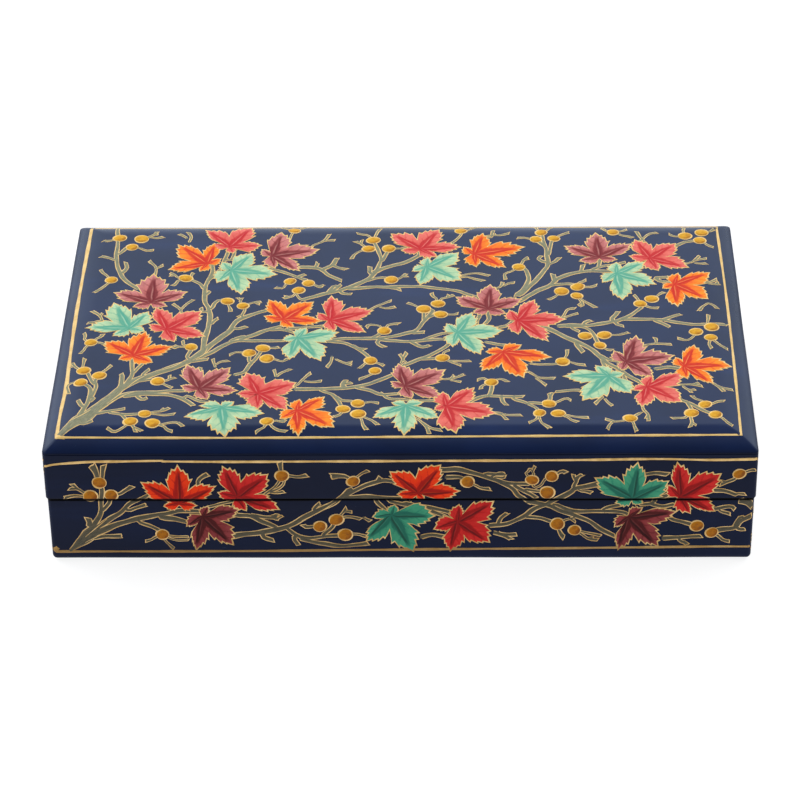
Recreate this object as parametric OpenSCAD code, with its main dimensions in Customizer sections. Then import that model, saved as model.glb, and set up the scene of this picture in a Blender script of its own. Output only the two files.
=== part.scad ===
// Flat rectangular papier-mache box with a lift-off lid.
// A pinned wooden carcass carries a lacquered papier-mache skin over each half. Millimetres.
// Origin: middle of the underside, on the table. +X runs along the length, +Y to the back, +Z up.

/* [Overall] */
// Length of the lid over the skin
lid_w = 254; // [200:1:320]
// Depth of the lid over the skin, front to back
lid_d = 150; // [120:1:200]
// Height of the seam between base and lid above the table
base_h = 28; // [24:0.5:40]
// Height of the upright side of the lid, from the seam to the arris
lid_side_h = 20.6; // [16:0.2:30]
// Rise of the crowned top above the arris
crown_h = 4.4; // [3:0.1:5.5]
// Width of the rolled border of the top, from the arris to the flat field
roll_w = 12; // [9:0.5:16]
// How far the lid stands proud of the base, each side
lid_overhang = 0.5; // [0.3:0.1:0.8]

/* [Papier-mache skin] */
// Thickness of the paper, gesso and lacquer
skin_t = 1.2; // [0.8:0.1:1.6]
// Radius of the upright corners
corner_r = 1.6; // [1:0.1:2]
// Radius of the bottom edge of the base
bottom_edge_r = 2.4; // [1.6:0.1:2.6]
// How far the skin is turned in under the base
hem_w = 7; // [5:0.5:9]
// Height of the turned hem above the table, which the bottom board clears
hem_lift = 0.3; // [0.2:0.1:0.5]
// Distance that each skin stops short of the seam
rim_gap = 0.2; // [0.1:0.05:0.3]

/* [Wooden carcass] */
// Thickness of the base walls
board_t = 5; // [4:0.25:6]
// Thickness of the bottom board
bottom_t = 4.5; // [4:0.25:6]
// Thickness of the top board at its flat field
top_t = 7; // [6:0.25:9]
// Thickness of the tongue left on a long board outside its lapped end
tongue_t = 2.4; // [2:0.1:2.8]

/* [Lip] */
// Thickness of the lip strips inside the base
lip_t = 2.5; // [2:0.1:3]
// Height of the lip above the seam
lip_rise = 6; // [4:0.5:9]
// Gap between the lip and the inside of the lid, each side
lip_clearance = 0.4; // [0.3:0.05:0.6]
// Width of the bevel along the outer top edge of the lip
lip_bevel = 0.8; // [0.5:0.1:1.2]

/* [Linings] */
// Thickness of the velvet on the floor and under the lid
lining_t = 1; // [0.6:0.1:1.4]
// Gap between a lining and the wood round it
lining_gap = 0.3; // [0.2:0.1:0.6]

/* [Panel pins] */
// Diameter of a pin
pin_d = 1.2; // [1:0.1:1.4]
// Length of a pin
pin_l = 13; // [11:0.5:15]
// Diameter of a pin head
head_d = 2; // [1.8:0.1:2.4]
// Thickness of a pin head
head_t = 0.5; // [0.4:0.1:0.7]
// Length of the point of a pin
point_l = 1.6; // [1.2:0.1:2]
// Diameter of a pin at its very tip
tip_d = 0.2; // [0.1:0.05:0.4]
// Radial gap round a pin in its hole
pin_clearance = 0.02; // [0.01:0.005:0.03]
// Pins along the bottom board at each long wall
pins_long = 4; // [3:1:6]
// Pins along the bottom board at each short wall
pins_short = 2; // [2:1:4]
// Distance of the outermost bottom pins from the end of a wall
pin_end = 22; // [18:1:30]
// Distance of a corner pin from the lower or upper edge of its wall
pin_edge = 4.5; // [3.5:0.5:5]

/* [Hidden] */
$fn = 64;
roll_fn = 180;
eps = 1;
total_h = base_h + lid_side_h + crown_h;

// The base over its skin, and the carcasses inside the skins
base_w = lid_w - 2 * lid_overhang;
base_d = lid_d - 2 * lid_overhang;
base_core_w = base_w - 2 * skin_t;
base_core_d = base_d - 2 * skin_t;
lid_core_w = lid_w - 2 * skin_t;
lid_core_d = lid_d - 2 * skin_t;

// Mouth of the base inside its walls, which the lip lines, and the lid rails that pass over the lip
mouth_w = base_core_w - 2 * board_t;
mouth_d = base_core_d - 2 * board_t;
rail_t = board_t + lid_overhang - lip_clearance;
recess_w = lid_core_w - 2 * rail_t;
recess_d = lid_core_d - 2 * rail_t;

// Heights
hem_top = hem_lift + skin_t;
lip_top = base_h + lip_rise;
field_z = total_h - skin_t;
rail_top = field_z - top_t;

// The roll is one arc, level at the field and ending at the arris
roll_r = (roll_w * roll_w + crown_h * crown_h) / (2 * crown_h);
// The top board has a flat bevel under the roll, parallel to the roll's chord
bevel_w = roll_w - skin_t;
bevel_h = bevel_w * crown_h / roll_w;

// ---- shared shapes ----

// A block centred on the Z axis, from z0 to z1
module block(w, d, z0, z1) {
    translate([-w / 2, -d / 2, z0])
        cube([w, d, z1 - z0]);
}

// A block with round upright corners
module rounded_block(w, d, z0, z1, r) {
    block(w - 2 * r, d, z0, z1);
    block(w, d - 2 * r, z0, z1);
    for (sx = [-1, 1], sy = [-1, 1])
        translate([sx * (w / 2 - r), sy * (d / 2 - r), z0])
            cylinder(h = z1 - z0, r = r);
}

// Children stay where they are, and are also copied to the other end or side
module and_mirrored(v) {
    children();
    mirror(v)
        children();
}

// What a sweep along X removes from the front edge of a block d deep: the corner outside an arc
// of radius r that is tangent to the face at height z, with the arc's side run_w wide and drop_h high
module edge_waste(w, d, z, r, run_w, drop_h) {
    translate([-w / 2 - eps, -d / 2, z])
        difference() {
            translate([0, -eps, -drop_h])
                cube([w + 2 * eps, run_w + eps, drop_h + eps]);
            translate([-eps, run_w, -r])
                rotate([0, 90, 0])
                    cylinder(h = w + 4 * eps, r = r, $fn = roll_fn);
        }
}

// A panel pin with its head at the origin and its point along +Z
module pin(gap = 0) {
    cylinder(h = head_t + gap, d = head_d + 2 * gap);
    cylinder(h = pin_l - point_l, d = pin_d + 2 * gap);
    translate([0, 0, pin_l - point_l])
        cylinder(h = point_l, d1 = pin_d + 2 * gap, d2 = tip_d + 2 * gap);
}

// Two pins at each corner, driven from the front and back into the ends of the short boards.
// w, d: size over the carcass; thickness: of the short boards; z0, z1: the walls' heights
module corner_pins(w, d, thickness, z0, z1, gap = 0) {
    for (x = [-1, 1] * (w / 2 - thickness / 2), z = [z0 + pin_edge, z1 - pin_edge])
        and_mirrored([0, 1, 0])
            translate([x, -d / 2, z])
                rotate([-90, 0, 0])
                    pin(gap);
}

// Pins driven up through the edge of the bottom board into the walls
module bottom_pin_set(gap = 0) {
    in_w = base_core_w / 2 - board_t / 2;
    in_d = base_core_d / 2 - board_t / 2;
    span_w = base_core_w - 2 * pin_end;
    span_d = base_core_d - 2 * pin_end;
    translate([0, 0, hem_top]) {
        for (i = [0 : pins_long - 1], y = [-in_d, in_d])
            translate([span_w * (i / (pins_long - 1) - 0.5), y, 0])
                pin(gap);
        for (i = [0 : pins_short - 1], x = [-in_w, in_w])
            translate([x, span_d * (i / (pins_short - 1) - 0.5), 0])
                pin(gap);
    }
}

// A long board at the front, lapped at both ends over the short boards
module long_board(w, d, thickness, z0, z1) {
    difference() {
        translate([-w / 2, -d / 2, z0])
            cube([w, thickness, z1 - z0]);
        and_mirrored([1, 0, 0])
            translate([w / 2 - thickness, -d / 2 + tongue_t, z0 - eps])
                cube([thickness + eps, thickness, z1 - z0 + 2 * eps]);
    }
}

// A short board at the right, whose ends stand in the laps
module short_board(w, d, thickness, z0, z1) {
    translate([w / 2 - thickness, -d / 2 + tongue_t, z0])
        cube([thickness, d - 2 * tongue_t, z1 - z0]);
}

// ---- base ----

module base_long_wall() {
    color("burlywood")
        difference() {
            long_board(base_core_w, base_core_d, board_t, bottom_t, base_h);
            corner_pins(base_core_w, base_core_d, board_t, bottom_t, base_h, pin_clearance);
            bottom_pin_set(pin_clearance);
        }
}

module base_short_wall() {
    color("burlywood")
        difference() {
            short_board(base_core_w, base_core_d, board_t, bottom_t, base_h);
            corner_pins(base_core_w, base_core_d, board_t, bottom_t, base_h, pin_clearance);
            bottom_pin_set(pin_clearance);
        }
}

module base_front_wall() { base_long_wall(); }
module base_back_wall() { mirror([0, 1, 0]) base_long_wall(); }
module base_right_wall() { base_short_wall(); }
module base_left_wall() { mirror([1, 0, 0]) base_short_wall(); }

// Stepped underneath, so that the hem of the skin lies in the step
module bottom_board() {
    color("tan")
        difference() {
            union() {
                block(base_core_w, base_core_d, hem_top, bottom_t);
                block(base_core_w - 2 * hem_w, base_core_d - 2 * hem_w, 0, bottom_t);
            }
            bottom_pin_set(pin_clearance);
        }
}

module base_corner_pins() {
    color("silver")
        corner_pins(base_core_w, base_core_d, board_t, bottom_t, base_h);
}

module bottom_pins() {
    color("silver")
        bottom_pin_set();
}

// One strip of the lip at the front of a mouth w by d, mitred at both ends
module lip_strip(w, d) {
    // Side of the square bar that takes the bevel off
    bevel_cut = lip_bevel * sqrt(2);
    color("black")
        difference() {
            translate([-w / 2, -d / 2, bottom_t])
                cube([w, lip_t, lip_top - bottom_t]);
            and_mirrored([1, 0, 0])
                translate([w / 2, -d / 2, bottom_t - eps])
                    rotate([0, 0, 45])
                        cube([2 * lip_t, 2 * lip_t, lip_top - bottom_t + 2 * eps]);
            translate([0, -d / 2, lip_top])
                rotate([45, 0, 0])
                    cube([w + 2 * eps, bevel_cut, bevel_cut], center = true);
        }
}

module lip_front() { lip_strip(mouth_w, mouth_d); }
module lip_back() { mirror([0, 1, 0]) lip_strip(mouth_w, mouth_d); }
module lip_right() { rotate([0, 0, 90]) lip_strip(mouth_d, mouth_w); }
module lip_left() { rotate([0, 0, -90]) lip_strip(mouth_d, mouth_w); }

module floor_lining() {
    inset = 2 * (lip_t + lining_gap);
    color("midnightblue")
        block(mouth_w - inset, mouth_d - inset, bottom_t, bottom_t + lining_t);
}

// Sides and turned hem in one skin, rounded along the bottom edge
module base_skin() {
    color("navy")
        difference() {
            rounded_block(base_w, base_d, hem_lift, base_h - rim_gap, corner_r);
            block(base_core_w, base_core_d, hem_top, base_h + eps);
            block(base_core_w - 2 * hem_w, base_core_d - 2 * hem_w, -eps, base_h);
            mirror([0, 0, 1]) {
                and_mirrored([0, 1, 0])
                    edge_waste(base_w, base_d, -hem_lift, bottom_edge_r, bottom_edge_r, bottom_edge_r);
                rotate([0, 0, 90])
                    and_mirrored([0, 1, 0])
                        edge_waste(base_d, base_w, -hem_lift, bottom_edge_r, bottom_edge_r, bottom_edge_r);
            }
        }
}

// ---- lid ----

// Outside of the lid's wood, with the flat bevel round the top board
module lid_core(z0) {
    section = function (w) [
        [-w / 2, z0], [w / 2, z0], [w / 2, field_z - bevel_h],
        [w / 2 - bevel_w, field_z], [-w / 2 + bevel_w, field_z], [-w / 2, field_z - bevel_h]
    ];
    intersection() {
        translate([0, lid_core_d / 2, 0])
            rotate([90, 0, 0])
                linear_extrude(lid_core_d)
                    polygon(section(lid_core_w));
        translate([-lid_core_w / 2, 0, 0])
            rotate([90, 0, 90])
                linear_extrude(lid_core_w)
                    polygon(section(lid_core_d));
    }
}

module lid_top_board() {
    color("tan")
        lid_core(rail_top);
}

module lid_long_rail() {
    color("burlywood")
        difference() {
            long_board(lid_core_w, lid_core_d, rail_t, base_h, rail_top);
            corner_pins(lid_core_w, lid_core_d, rail_t, base_h, rail_top, pin_clearance);
        }
}

module lid_short_rail() {
    color("burlywood")
        difference() {
            short_board(lid_core_w, lid_core_d, rail_t, base_h, rail_top);
            corner_pins(lid_core_w, lid_core_d, rail_t, base_h, rail_top, pin_clearance);
        }
}

module lid_front_rail() { lid_long_rail(); }
module lid_back_rail() { mirror([0, 1, 0]) lid_long_rail(); }
module lid_right_rail() { lid_short_rail(); }
module lid_left_rail() { mirror([1, 0, 0]) lid_short_rail(); }

module lid_corner_pins() {
    color("silver")
        corner_pins(lid_core_w, lid_core_d, rail_t, base_h, rail_top);
}

module lid_lining() {
    color("midnightblue")
        block(recess_w - 2 * lining_gap, recess_d - 2 * lining_gap, rail_top - lining_t, rail_top);
}

// The crowned outside of the lid: four rolled edges that meet in mitres over the corners
module lid_skin() {
    color("navy")
        difference() {
            rounded_block(lid_w, lid_d, base_h + rim_gap, total_h, corner_r);
            lid_core(base_h - eps);
            and_mirrored([0, 1, 0])
                edge_waste(lid_w, lid_d, total_h, roll_r, roll_w, crown_h);
            rotate([0, 0, 90])
                and_mirrored([0, 1, 0])
                    edge_waste(lid_d, lid_w, total_h, roll_r, roll_w, crown_h);
        }
}

base_front_wall();
base_back_wall();
base_left_wall();
base_right_wall();
bottom_board();
lip_front();
lip_back();
lip_left();
lip_right();
floor_lining();
base_corner_pins();
bottom_pins();
base_skin();
lid_top_board();
lid_front_rail();
lid_back_rail();
lid_left_rail();
lid_right_rail();
lid_lining();
lid_corner_pins();
lid_skin();
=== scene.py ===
import math
import bmesh
import bpy
import numpy as np
from mathutils import Matrix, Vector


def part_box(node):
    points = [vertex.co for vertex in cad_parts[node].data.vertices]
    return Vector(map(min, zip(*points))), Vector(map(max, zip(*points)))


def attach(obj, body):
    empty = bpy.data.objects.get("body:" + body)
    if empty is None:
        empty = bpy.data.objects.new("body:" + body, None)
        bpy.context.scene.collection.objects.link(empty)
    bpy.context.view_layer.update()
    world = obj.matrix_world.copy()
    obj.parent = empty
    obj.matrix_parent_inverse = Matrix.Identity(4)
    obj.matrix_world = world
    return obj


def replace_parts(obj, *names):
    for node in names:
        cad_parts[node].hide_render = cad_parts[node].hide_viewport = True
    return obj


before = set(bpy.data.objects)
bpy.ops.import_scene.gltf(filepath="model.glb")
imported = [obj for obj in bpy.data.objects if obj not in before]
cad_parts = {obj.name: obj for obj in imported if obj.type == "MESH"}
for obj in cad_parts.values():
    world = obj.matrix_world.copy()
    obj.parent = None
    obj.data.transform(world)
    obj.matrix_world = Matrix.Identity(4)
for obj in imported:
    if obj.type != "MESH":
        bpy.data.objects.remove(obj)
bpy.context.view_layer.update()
mm = 0.001  # everything below is in millimetres until a mesh is made

lidBox = [np.array(corner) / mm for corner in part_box("lid_skin")]
baseBox = [np.array(corner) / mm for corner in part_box("base_skin")]
seam = (lidBox[0][2] + baseBox[1][2]) / 2  # height of the joint between lid and base


# A socket's output that can be added, multiplied and so on, each sum making its Math node
class Wire:
    def __init__(self, nodes, socket):
        self.nodes, self.socket = nodes, socket

    def math(self, operation, *values):
        return self.nodes.node("Math", {"operation": operation}, dict(enumerate(values)))

    def __add__(self, other): return self.math("ADD", self, other)
    def __radd__(self, other): return self.math("ADD", other, self)
    def __sub__(self, other): return self.math("SUBTRACT", self, other)
    def __rsub__(self, other): return self.math("SUBTRACT", other, self)
    def __mul__(self, other): return self.math("MULTIPLY", self, other)
    def __rmul__(self, other): return self.math("MULTIPLY", other, self)
    def __truediv__(self, other): return self.math("DIVIDE", self, other)
    def __abs__(self): return self.math("ABSOLUTE", self)
    def sine(self): return self.math("SINE", self)

    def step(self, low, high):  # 0 below low, 1 above high, smooth between; falls when low is above high
        if low > high:
            return 1 - self.step(high, low)
        return self.nodes.node("MapRange", {"interpolation_type": "SMOOTHSTEP"}, {0: self, 1: low, 2: high})


# A node tree and the few ways its values and colours are mixed
class Nodes:
    def __init__(self, tree):
        self.tree = tree

    def node(self, kind, settings, inputs, out=0):
        made = self.tree.nodes.new("ShaderNode" + kind)
        for key, value in settings.items():
            setattr(made, key, value)
        for key, value in inputs.items():
            if isinstance(value, Wire):
                self.tree.links.new(value.socket, made.inputs[key])
            else:
                made.inputs[key].default_value = value
        return Wire(self, made.outputs[out])

    def place(self):  # metres in the shared frame
        return self.node("TexCoord", {}, {}, "Object")

    def parts(self, vector):
        made = self.node("SeparateXYZ", {}, {0: vector})
        return [Wire(self, made.socket.node.outputs[i]) for i in range(3)]

    def marks(self, layer):  # the two numbers of one of the piece's own UV maps
        return self.parts(self.node("UVMap", {"uv_map": layer}, {}))[:2]

    def noise(self, vector, scale, detail, rough, stretch=None):
        if stretch:
            vector = self.node("VectorMath", {"operation": "MULTIPLY"}, {0: vector, 1: stretch})
        inputs = {"Vector": vector, "Scale": scale, "Detail": detail, "Roughness": rough}
        return self.node("TexNoise", {}, inputs)

    def joined(self, x, y, z):
        return self.node("CombineXYZ", {}, {0: x, 1: y, 2: z})

    def mix(self, share, first, second, blend="MIX"):
        colours = {6: first, 7: second}
        colours = {k: (*v, 1.0) if isinstance(v, tuple) else v for k, v in colours.items()}
        return self.node("Mix", {"data_type": "RGBA", "blend_type": blend}, {0: share, **colours}, 2)


# A material with one Principled shader; values that are the same all over are set on its sockets
class Finish(Nodes):
    def __init__(self, name, **fixed):
        self.material = bpy.data.materials.new(name)
        self.material.use_nodes = True
        super().__init__(self.material.node_tree)
        self.shader = self.tree.nodes["Principled BSDF"]
        for socket, value in fixed.items():
            self.shader.inputs[socket.replace("_", " ")].default_value = value

    def feed(self, socket, wire):
        self.tree.links.new(wire.socket, self.shader.inputs[socket])

    def bump(self, height, distance, strength):
        made = self.node("Bump", {}, {"Height": height, "Distance": distance * mm, "Strength": strength})
        self.feed("Normal", made)


lacquerLook = {
    "navy": (0.0055, 0.0130, 0.050), "navyDeep": (0.0038, 0.0085, 0.030), "worn": (0.050, 0.075, 0.150),
    "brushed": (0.007, 0.022, 0.088), "sideShade": (0.0065, 0.0090, 0.025),
    "topHeight": (0.0483, 0.0500),  # between these heights the thin side coat becomes the thick top coat
    "sideCoat": 0.035, "topCoat": 1.0,
    # painted shade along the joint between lid and base: its reach, wobble, share and colour
    "seamShade": (0.00105, 0.00045), "seamShadeDrift": 0.0005,  # metres from the joint
    "seamShadeShare": 0.93, "seamShadeColour": (0.0012, 0.0012, 0.0018),
}


# More clear lacquer on the top than on the sides, so that the sides reflect less of the floor
def coatByHeight(finish, share=1.0):
    look = lacquerLook
    onTop = finish.parts(finish.place())[2].step(*look["topHeight"])
    finish.feed("Coat Weight", (onTop * (look["topCoat"] - look["sideCoat"]) + look["sideCoat"]) * share)
    return onTop


# Painted shade: a dark band along the joint between lid and base
def feedSeamShaded(finish, colour):
    look, place = lacquerLook, finish.place()
    drift = (finish.noise(place, 90, 2, 0.6) - 0.5) * look["seamShadeDrift"]
    # painted shade: the band next to the joint
    seamShade = (abs(finish.parts(place)[2] - seam * mm) + drift).step(*look["seamShade"])
    finish.feed("Base Color", finish.mix(seamShade * look["seamShadeShare"], colour, look["seamShadeColour"]))


def navyLacquer():
    finish = Finish("navy_lacquer", Specular_IOR_Level=0.08, Coat_Roughness=0.10, Coat_IOR=1.5)
    look, place = lacquerLook, finish.place()
    onTop = coatByHeight(finish)
    cloud = finish.noise(place, 28, 3, 0.55)
    brush = finish.noise(place, 60, 3, 0.6, (0.18, 1.0, 1.6))  # strokes laid along the length
    grain = finish.noise(place, 900, 2, 0.6)
    colour = finish.mix(cloud.step(0.3, 0.72) * 0.7, look["navy"], look["navyDeep"])
    colour = finish.mix(brush.step(0.52, 0.80) * 0.55, colour, look["brushed"])
    drift = finish.noise(place, 9, 2, 0.5, (1.0, 1.0, 4.0))  # painted shade: in patches the sides go from blue to nearly black
    sideShadeShare = (1 - onTop) * drift.step(0.60, 0.36)
    # painted shade: the sides darker than the top
    colour = finish.mix(sideShadeShare * 0.6, colour, look["sideShade"])
    chips = finish.noise(place, 210, 4, 0.7).step(0.70, 0.78)
    colour = finish.mix(chips * 0.35, colour, look["worn"])
    # adds the painted shade along the joint
    feedSeamShaded(finish, colour)
    finish.feed("Roughness", 0.38 + 0.16 * cloud + 0.10 * grain)
    finish.bump(brush * 0.7 + grain * 0.12 + chips * 0.3, 0.05, 0.5)
    return finish.material


goldLook = {
    "bright": (0.88, 0.60, 0.25), "dull": (0.64, 0.385, 0.115), "glint": (0.95, 0.74, 0.40),
    "low": (0.29, 0.155, 0.04), "lowShadeHeight": (0.010, 0.004),  # painted shade: dimmer low down
    "top": (1.0, 0.66, 0.22), "topHeight": (0.0500, 0.0525),  # painted light: brighter on the top
}


def goldPaint():
    finish = Finish("gold_paint", Metallic=0.45, Specular_IOR_Level=0.35, Coat_Roughness=0.12)
    look, place = goldLook, finish.place()
    coatByHeight(finish, 0.3)
    wear = finish.noise(place, 260, 3, 0.6)
    flow = finish.noise(place, 1400, 2, 0.5)
    colour = finish.mix(wear.step(0.30, 0.72), look["bright"], look["dull"])
    colour = finish.mix(flow.step(0.58, 0.82) * 0.5, colour, look["glint"])
    z = finish.parts(place)[2]
    # painted shade: the gold darker low down
    colour = finish.mix(z.step(*look["lowShadeHeight"]) * 0.9, colour, look["low"])
    # painted light: the gold brighter on the top
    colour = finish.mix(z.step(*look["topHeight"]) * 0.5, colour, look["top"])
    # adds the painted shade along the joint
    feedSeamShaded(finish, colour)
    finish.feed("Roughness", 0.36 + 0.22 * wear)
    finish.bump(flow + wear, 0.03, 0.5)
    return finish.material


# Pale edge, body, deep stroke along the veins, bright line beside them, and the tint of the sides: partly
# another paint mix, partly painted shade that darkens them
leafColours = {
    "orange": ((0.78, 0.215, 0.016), (0.73, 0.125, 0.015), (0.44, 0.018, 0.011), (0.85, 0.33, 0.10),
               (1.40, 0.27, 0.10)),
    "rose": ((0.60, 0.140, 0.108), (0.57, 0.095, 0.072), (0.39, 0.014, 0.018), (0.74, 0.26, 0.21),
             (1.30, 0.18, 0.20)),
    "turquoise": ((0.38, 0.50, 0.29), (0.32, 0.44, 0.25), (0.065, 0.27, 0.19), (0.48, 0.61, 0.40),
                  (0.18, 0.80, 0.77)),
    "plum": ((0.46, 0.168, 0.152), (0.42, 0.110, 0.100), (0.130, 0.013, 0.016), (0.53, 0.25, 0.21),
             (0.76, 0.33, 0.38)),
}
leafBrush = {
    "reach": 0.115, "widest": 0.28, "taper": 0.66, "soft": 0.022,  # the deep stroke, in lobe lengths
    "blotch": (0.9, 0.8, 0.7),
}


# u runs from the stalk to the tip of a lobe and v across it; the strokes follow the veins
def leafPaint(name):
    edge, body, deep, bright, tintAndShade = leafColours[name]
    finish = Finish("leaf_" + name, Specular_IOR_Level=0.12, Coat_Roughness=0.2)
    onTop = coatByHeight(finish, 0.14)
    place = finish.place()
    u, v = finish.marks("lobe")
    rim, seed = finish.marks("rim")
    side = abs(v)
    ragged = finish.noise(finish.joined(u * 3, v * 22, seed * 9), 2.2, 3, 0.6)  # brush hairs along the lobe
    wash = finish.noise(finish.joined(u * 2, v * 3, seed * 17), 1.7, 2, 0.5)  # broad patches of thicker paint
    blotch = finish.noise(place, 320, 2, 0.5)
    brush = leafBrush
    reach = brush["reach"] * (1 - abs(u - brush["widest"]) / brush["taper"]) * (0.50 + 1.1 * ragged)
    stroke = (side - reach).step(brush["soft"], -brush["soft"]) * u.step(0.98, 0.70)
    wavy = v + (wash - 0.5) * 0.05
    vein = (abs(wavy + 0.034) - 0.016).step(0.018, -0.004) * u.step(0.92, 0.70)
    rib = ((u - side * 1.1 + ragged * 0.16) * 25).sine().step(0.68, 1.0)
    rib = rib * side.step(0.01, 0.05) * side.step(0.30, 0.10) * u.step(0.14, 0.30)
    light = abs(wavy - 0.006 + ragged * 0.02).step(0.022, 0.004) * u.step(0.66, 0.36) * u.step(0.03, 0.16)
    colour = finish.mix((rim + ragged * 0.35).step(0.60, 1.10), body, edge)
    colour = finish.mix(ragged.step(0.35, 0.75) * 0.40, colour, edge)
    colour = finish.mix(wash.step(0.62, 0.36) * 0.26 + u.step(0.40, 0.10) * 0.34, colour, deep)
    colour = finish.mix(stroke * (0.66 + 0.40 * ragged), colour, deep)
    colour = finish.mix(rib * 0.50, colour, deep)
    colour = finish.mix(vein * 0.85, colour, deep)
    colour = finish.mix(light * 0.42, colour, bright)
    colour = finish.mix(blotch.step(0.45, 0.8) * 0.16, colour, brush["blotch"], "SOFT_LIGHT")
    # painted shade, with another paint mix: the sides darker and deeper than the top
    colour = finish.mix(1 - onTop, colour, tintAndShade, "MULTIPLY")
    # painted shade: strokes and veins darker still on the sides
    colour = finish.mix((1 - onTop) * (stroke * 0.36 + vein * 0.42), colour, tuple(0.2 * c for c in deep))
    # adds the painted shade along the joint
    feedSeamShaded(finish, colour)
    finish.feed("Roughness", 0.42 + 0.2 * ragged)
    finish.bump(ragged * 0.5 + vein * 0.5 - stroke * 0.3 + light * 0.5 + blotch * 0.2, 0.04, 0.5)
    return finish.material


branchLook = {
    "body": (0.122, 0.130, 0.080), "streak": (0.262, 0.242, 0.148), "edge": (0.38, 0.32, 0.18),
    "mottle": (0.065, 0.090, 0.100), "sideTintAndShade": (0.64, 0.57, 0.60),
}


# u is the distance along a branch in centimetres and v goes across it from -1 to 1
def branchPaint():
    finish = Finish("branch_green", Specular_IOR_Level=0.12, Coat_Roughness=0.2)
    onTop = coatByHeight(finish, 0.14)
    u, v = finish.marks("lobe")
    seed = finish.marks("rim")[1]
    place = finish.place()
    streak = finish.noise(finish.joined(u * 1.6, v * 3.2, seed * 7), 3.0, 3, 0.65)
    mottle = finish.noise(place, 240, 3, 0.6)
    colour = finish.mix(streak.step(0.34, 0.70), branchLook["body"], branchLook["streak"])
    colour = finish.mix(abs(v).step(0.45, 1.0) * 0.5, colour, branchLook["edge"])
    colour = finish.mix(mottle.step(0.50, 0.78) * 0.45, colour, branchLook["mottle"])
    # painted shade, with another paint mix: the sides darker than the top
    colour = finish.mix(1 - onTop, colour, branchLook["sideTintAndShade"], "MULTIPLY")
    # adds the painted shade along the joint
    feedSeamShaded(finish, colour)
    finish.feed("Roughness", 0.44 + 0.2 * mottle)
    finish.bump(streak + 0.4 * mottle, 0.04, 0.6)
    return finish.material


berryLook = {
    "ochre": (0.56, 0.290, 0.019), "deep": (0.46, 0.215, 0.008), "shade": (0.27, 0.100, 0.005),
    "light": (0.74, 0.46, 0.07), "sideTintAndShade": (1.00, 0.68, 0.10), "ground": (0.14, 0.090, 0.035),
}


# u and v are the place on the berry, from -1 to 1, with its light side towards the upper left
def berryPaint():
    finish = Finish("berry_ochre", Specular_IOR_Level=0.15, Coat_Roughness=0.2)
    onTop = coatByHeight(finish, 0.16)
    u, v = finish.marks("lobe")
    seed = finish.marks("rim")[1]
    dab = finish.noise(finish.joined(u * 1.2, v * 1.2, seed * 13), 1.6, 3, 0.6)
    shade = (u * 0.55 - v * 0.75 + dab * 1.2).step(0.55, 1.35)
    colour = finish.mix(dab.step(0.3, 0.7), berryLook["ochre"], berryLook["deep"])
    colour = finish.mix(shade * 0.8, colour, berryLook["shade"])
    colour = finish.mix((v - u * 0.6 + dab * 0.6).step(0.9, 1.35) * 0.70, colour, berryLook["light"])
    # painted shade, with another paint mix: the sides darker and deeper than the top
    colour = finish.mix(1 - onTop, colour, berryLook["sideTintAndShade"], "MULTIPLY")
    smudge = dab.step(0.60, 0.74) * (0.75 - 0.45 * onTop)  # the ground shows through thin paint
    colour = finish.mix(smudge, colour, berryLook["ground"])
    # adds the painted shade along the joint
    feedSeamShaded(finish, colour)
    finish.feed("Roughness", 0.40 + 0.2 * dab)
    finish.bump(dab, 0.05, 0.5)
    return finish.material


woodLook = {
    "pale": (0.52, 0.335, 0.175), "ring": (0.40, 0.235, 0.110), "band": (0.58, 0.40, 0.23),
    "pore": (0.24, 0.130, 0.060), "lacquer": (0.011, 0.012, 0.016),
    "upperHeight": (0.0268, 0.0275), "underHeight": (0.0012, 0.0005),  # where the lacquer starts
}


# Pale softwood: rings about a slanted axis, stretched along the board, with fine pores. Its bare edges are
# lacquered black: the walls' upper edge and the lid's wood above it, and the underside.
def carcassWood(name, along):
    finish = Finish(name, Specular_IOR_Level=0.4, Coat_Roughness=0.22)
    look, place = woodLook, finish.place()
    stretch = (0.08, 1.0, 1.0) if along == "x" else (1.0, 0.08, 1.0)
    bend = finish.noise(place, 22, 3, 0.5, stretch)
    x, y, z = finish.parts(place)
    across = y if along == "x" else x
    rings = ((across * 0.7 + z * 1.3) * 1150 + bend * 16).sine()
    pores = finish.noise(place, 1500, 2, 0.6, stretch)
    colour = finish.mix(rings.step(-0.7, 0.95), look["pale"], look["ring"])
    colour = finish.mix(bend.step(0.35, 0.7) * 0.5, colour, look["band"])
    colour = finish.mix(pores.step(0.60, 0.74) * 0.5, colour, look["pore"])
    black = z.step(*look["upperHeight"]) + z.step(*look["underHeight"])
    black = black * (1 - 0.35 * pores.step(0.64, 0.76))
    finish.feed("Base Color", finish.mix(black, colour, look["lacquer"]))
    finish.feed("Roughness", 0.58 + 0.16 * pores - black * 0.22)
    finish.feed("Coat Weight", black * 0.4)
    finish.bump(pores * -0.8 + rings * 0.3, 0.05, 0.5)
    return finish.material


lipLook = {
    "black": (0.010, 0.011, 0.014), "grey": (0.022, 0.022, 0.026),
    "rubbed": (0.16, 0.10, 0.055), "rubbedHeight": (0.0330, 0.0341),
}


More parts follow.
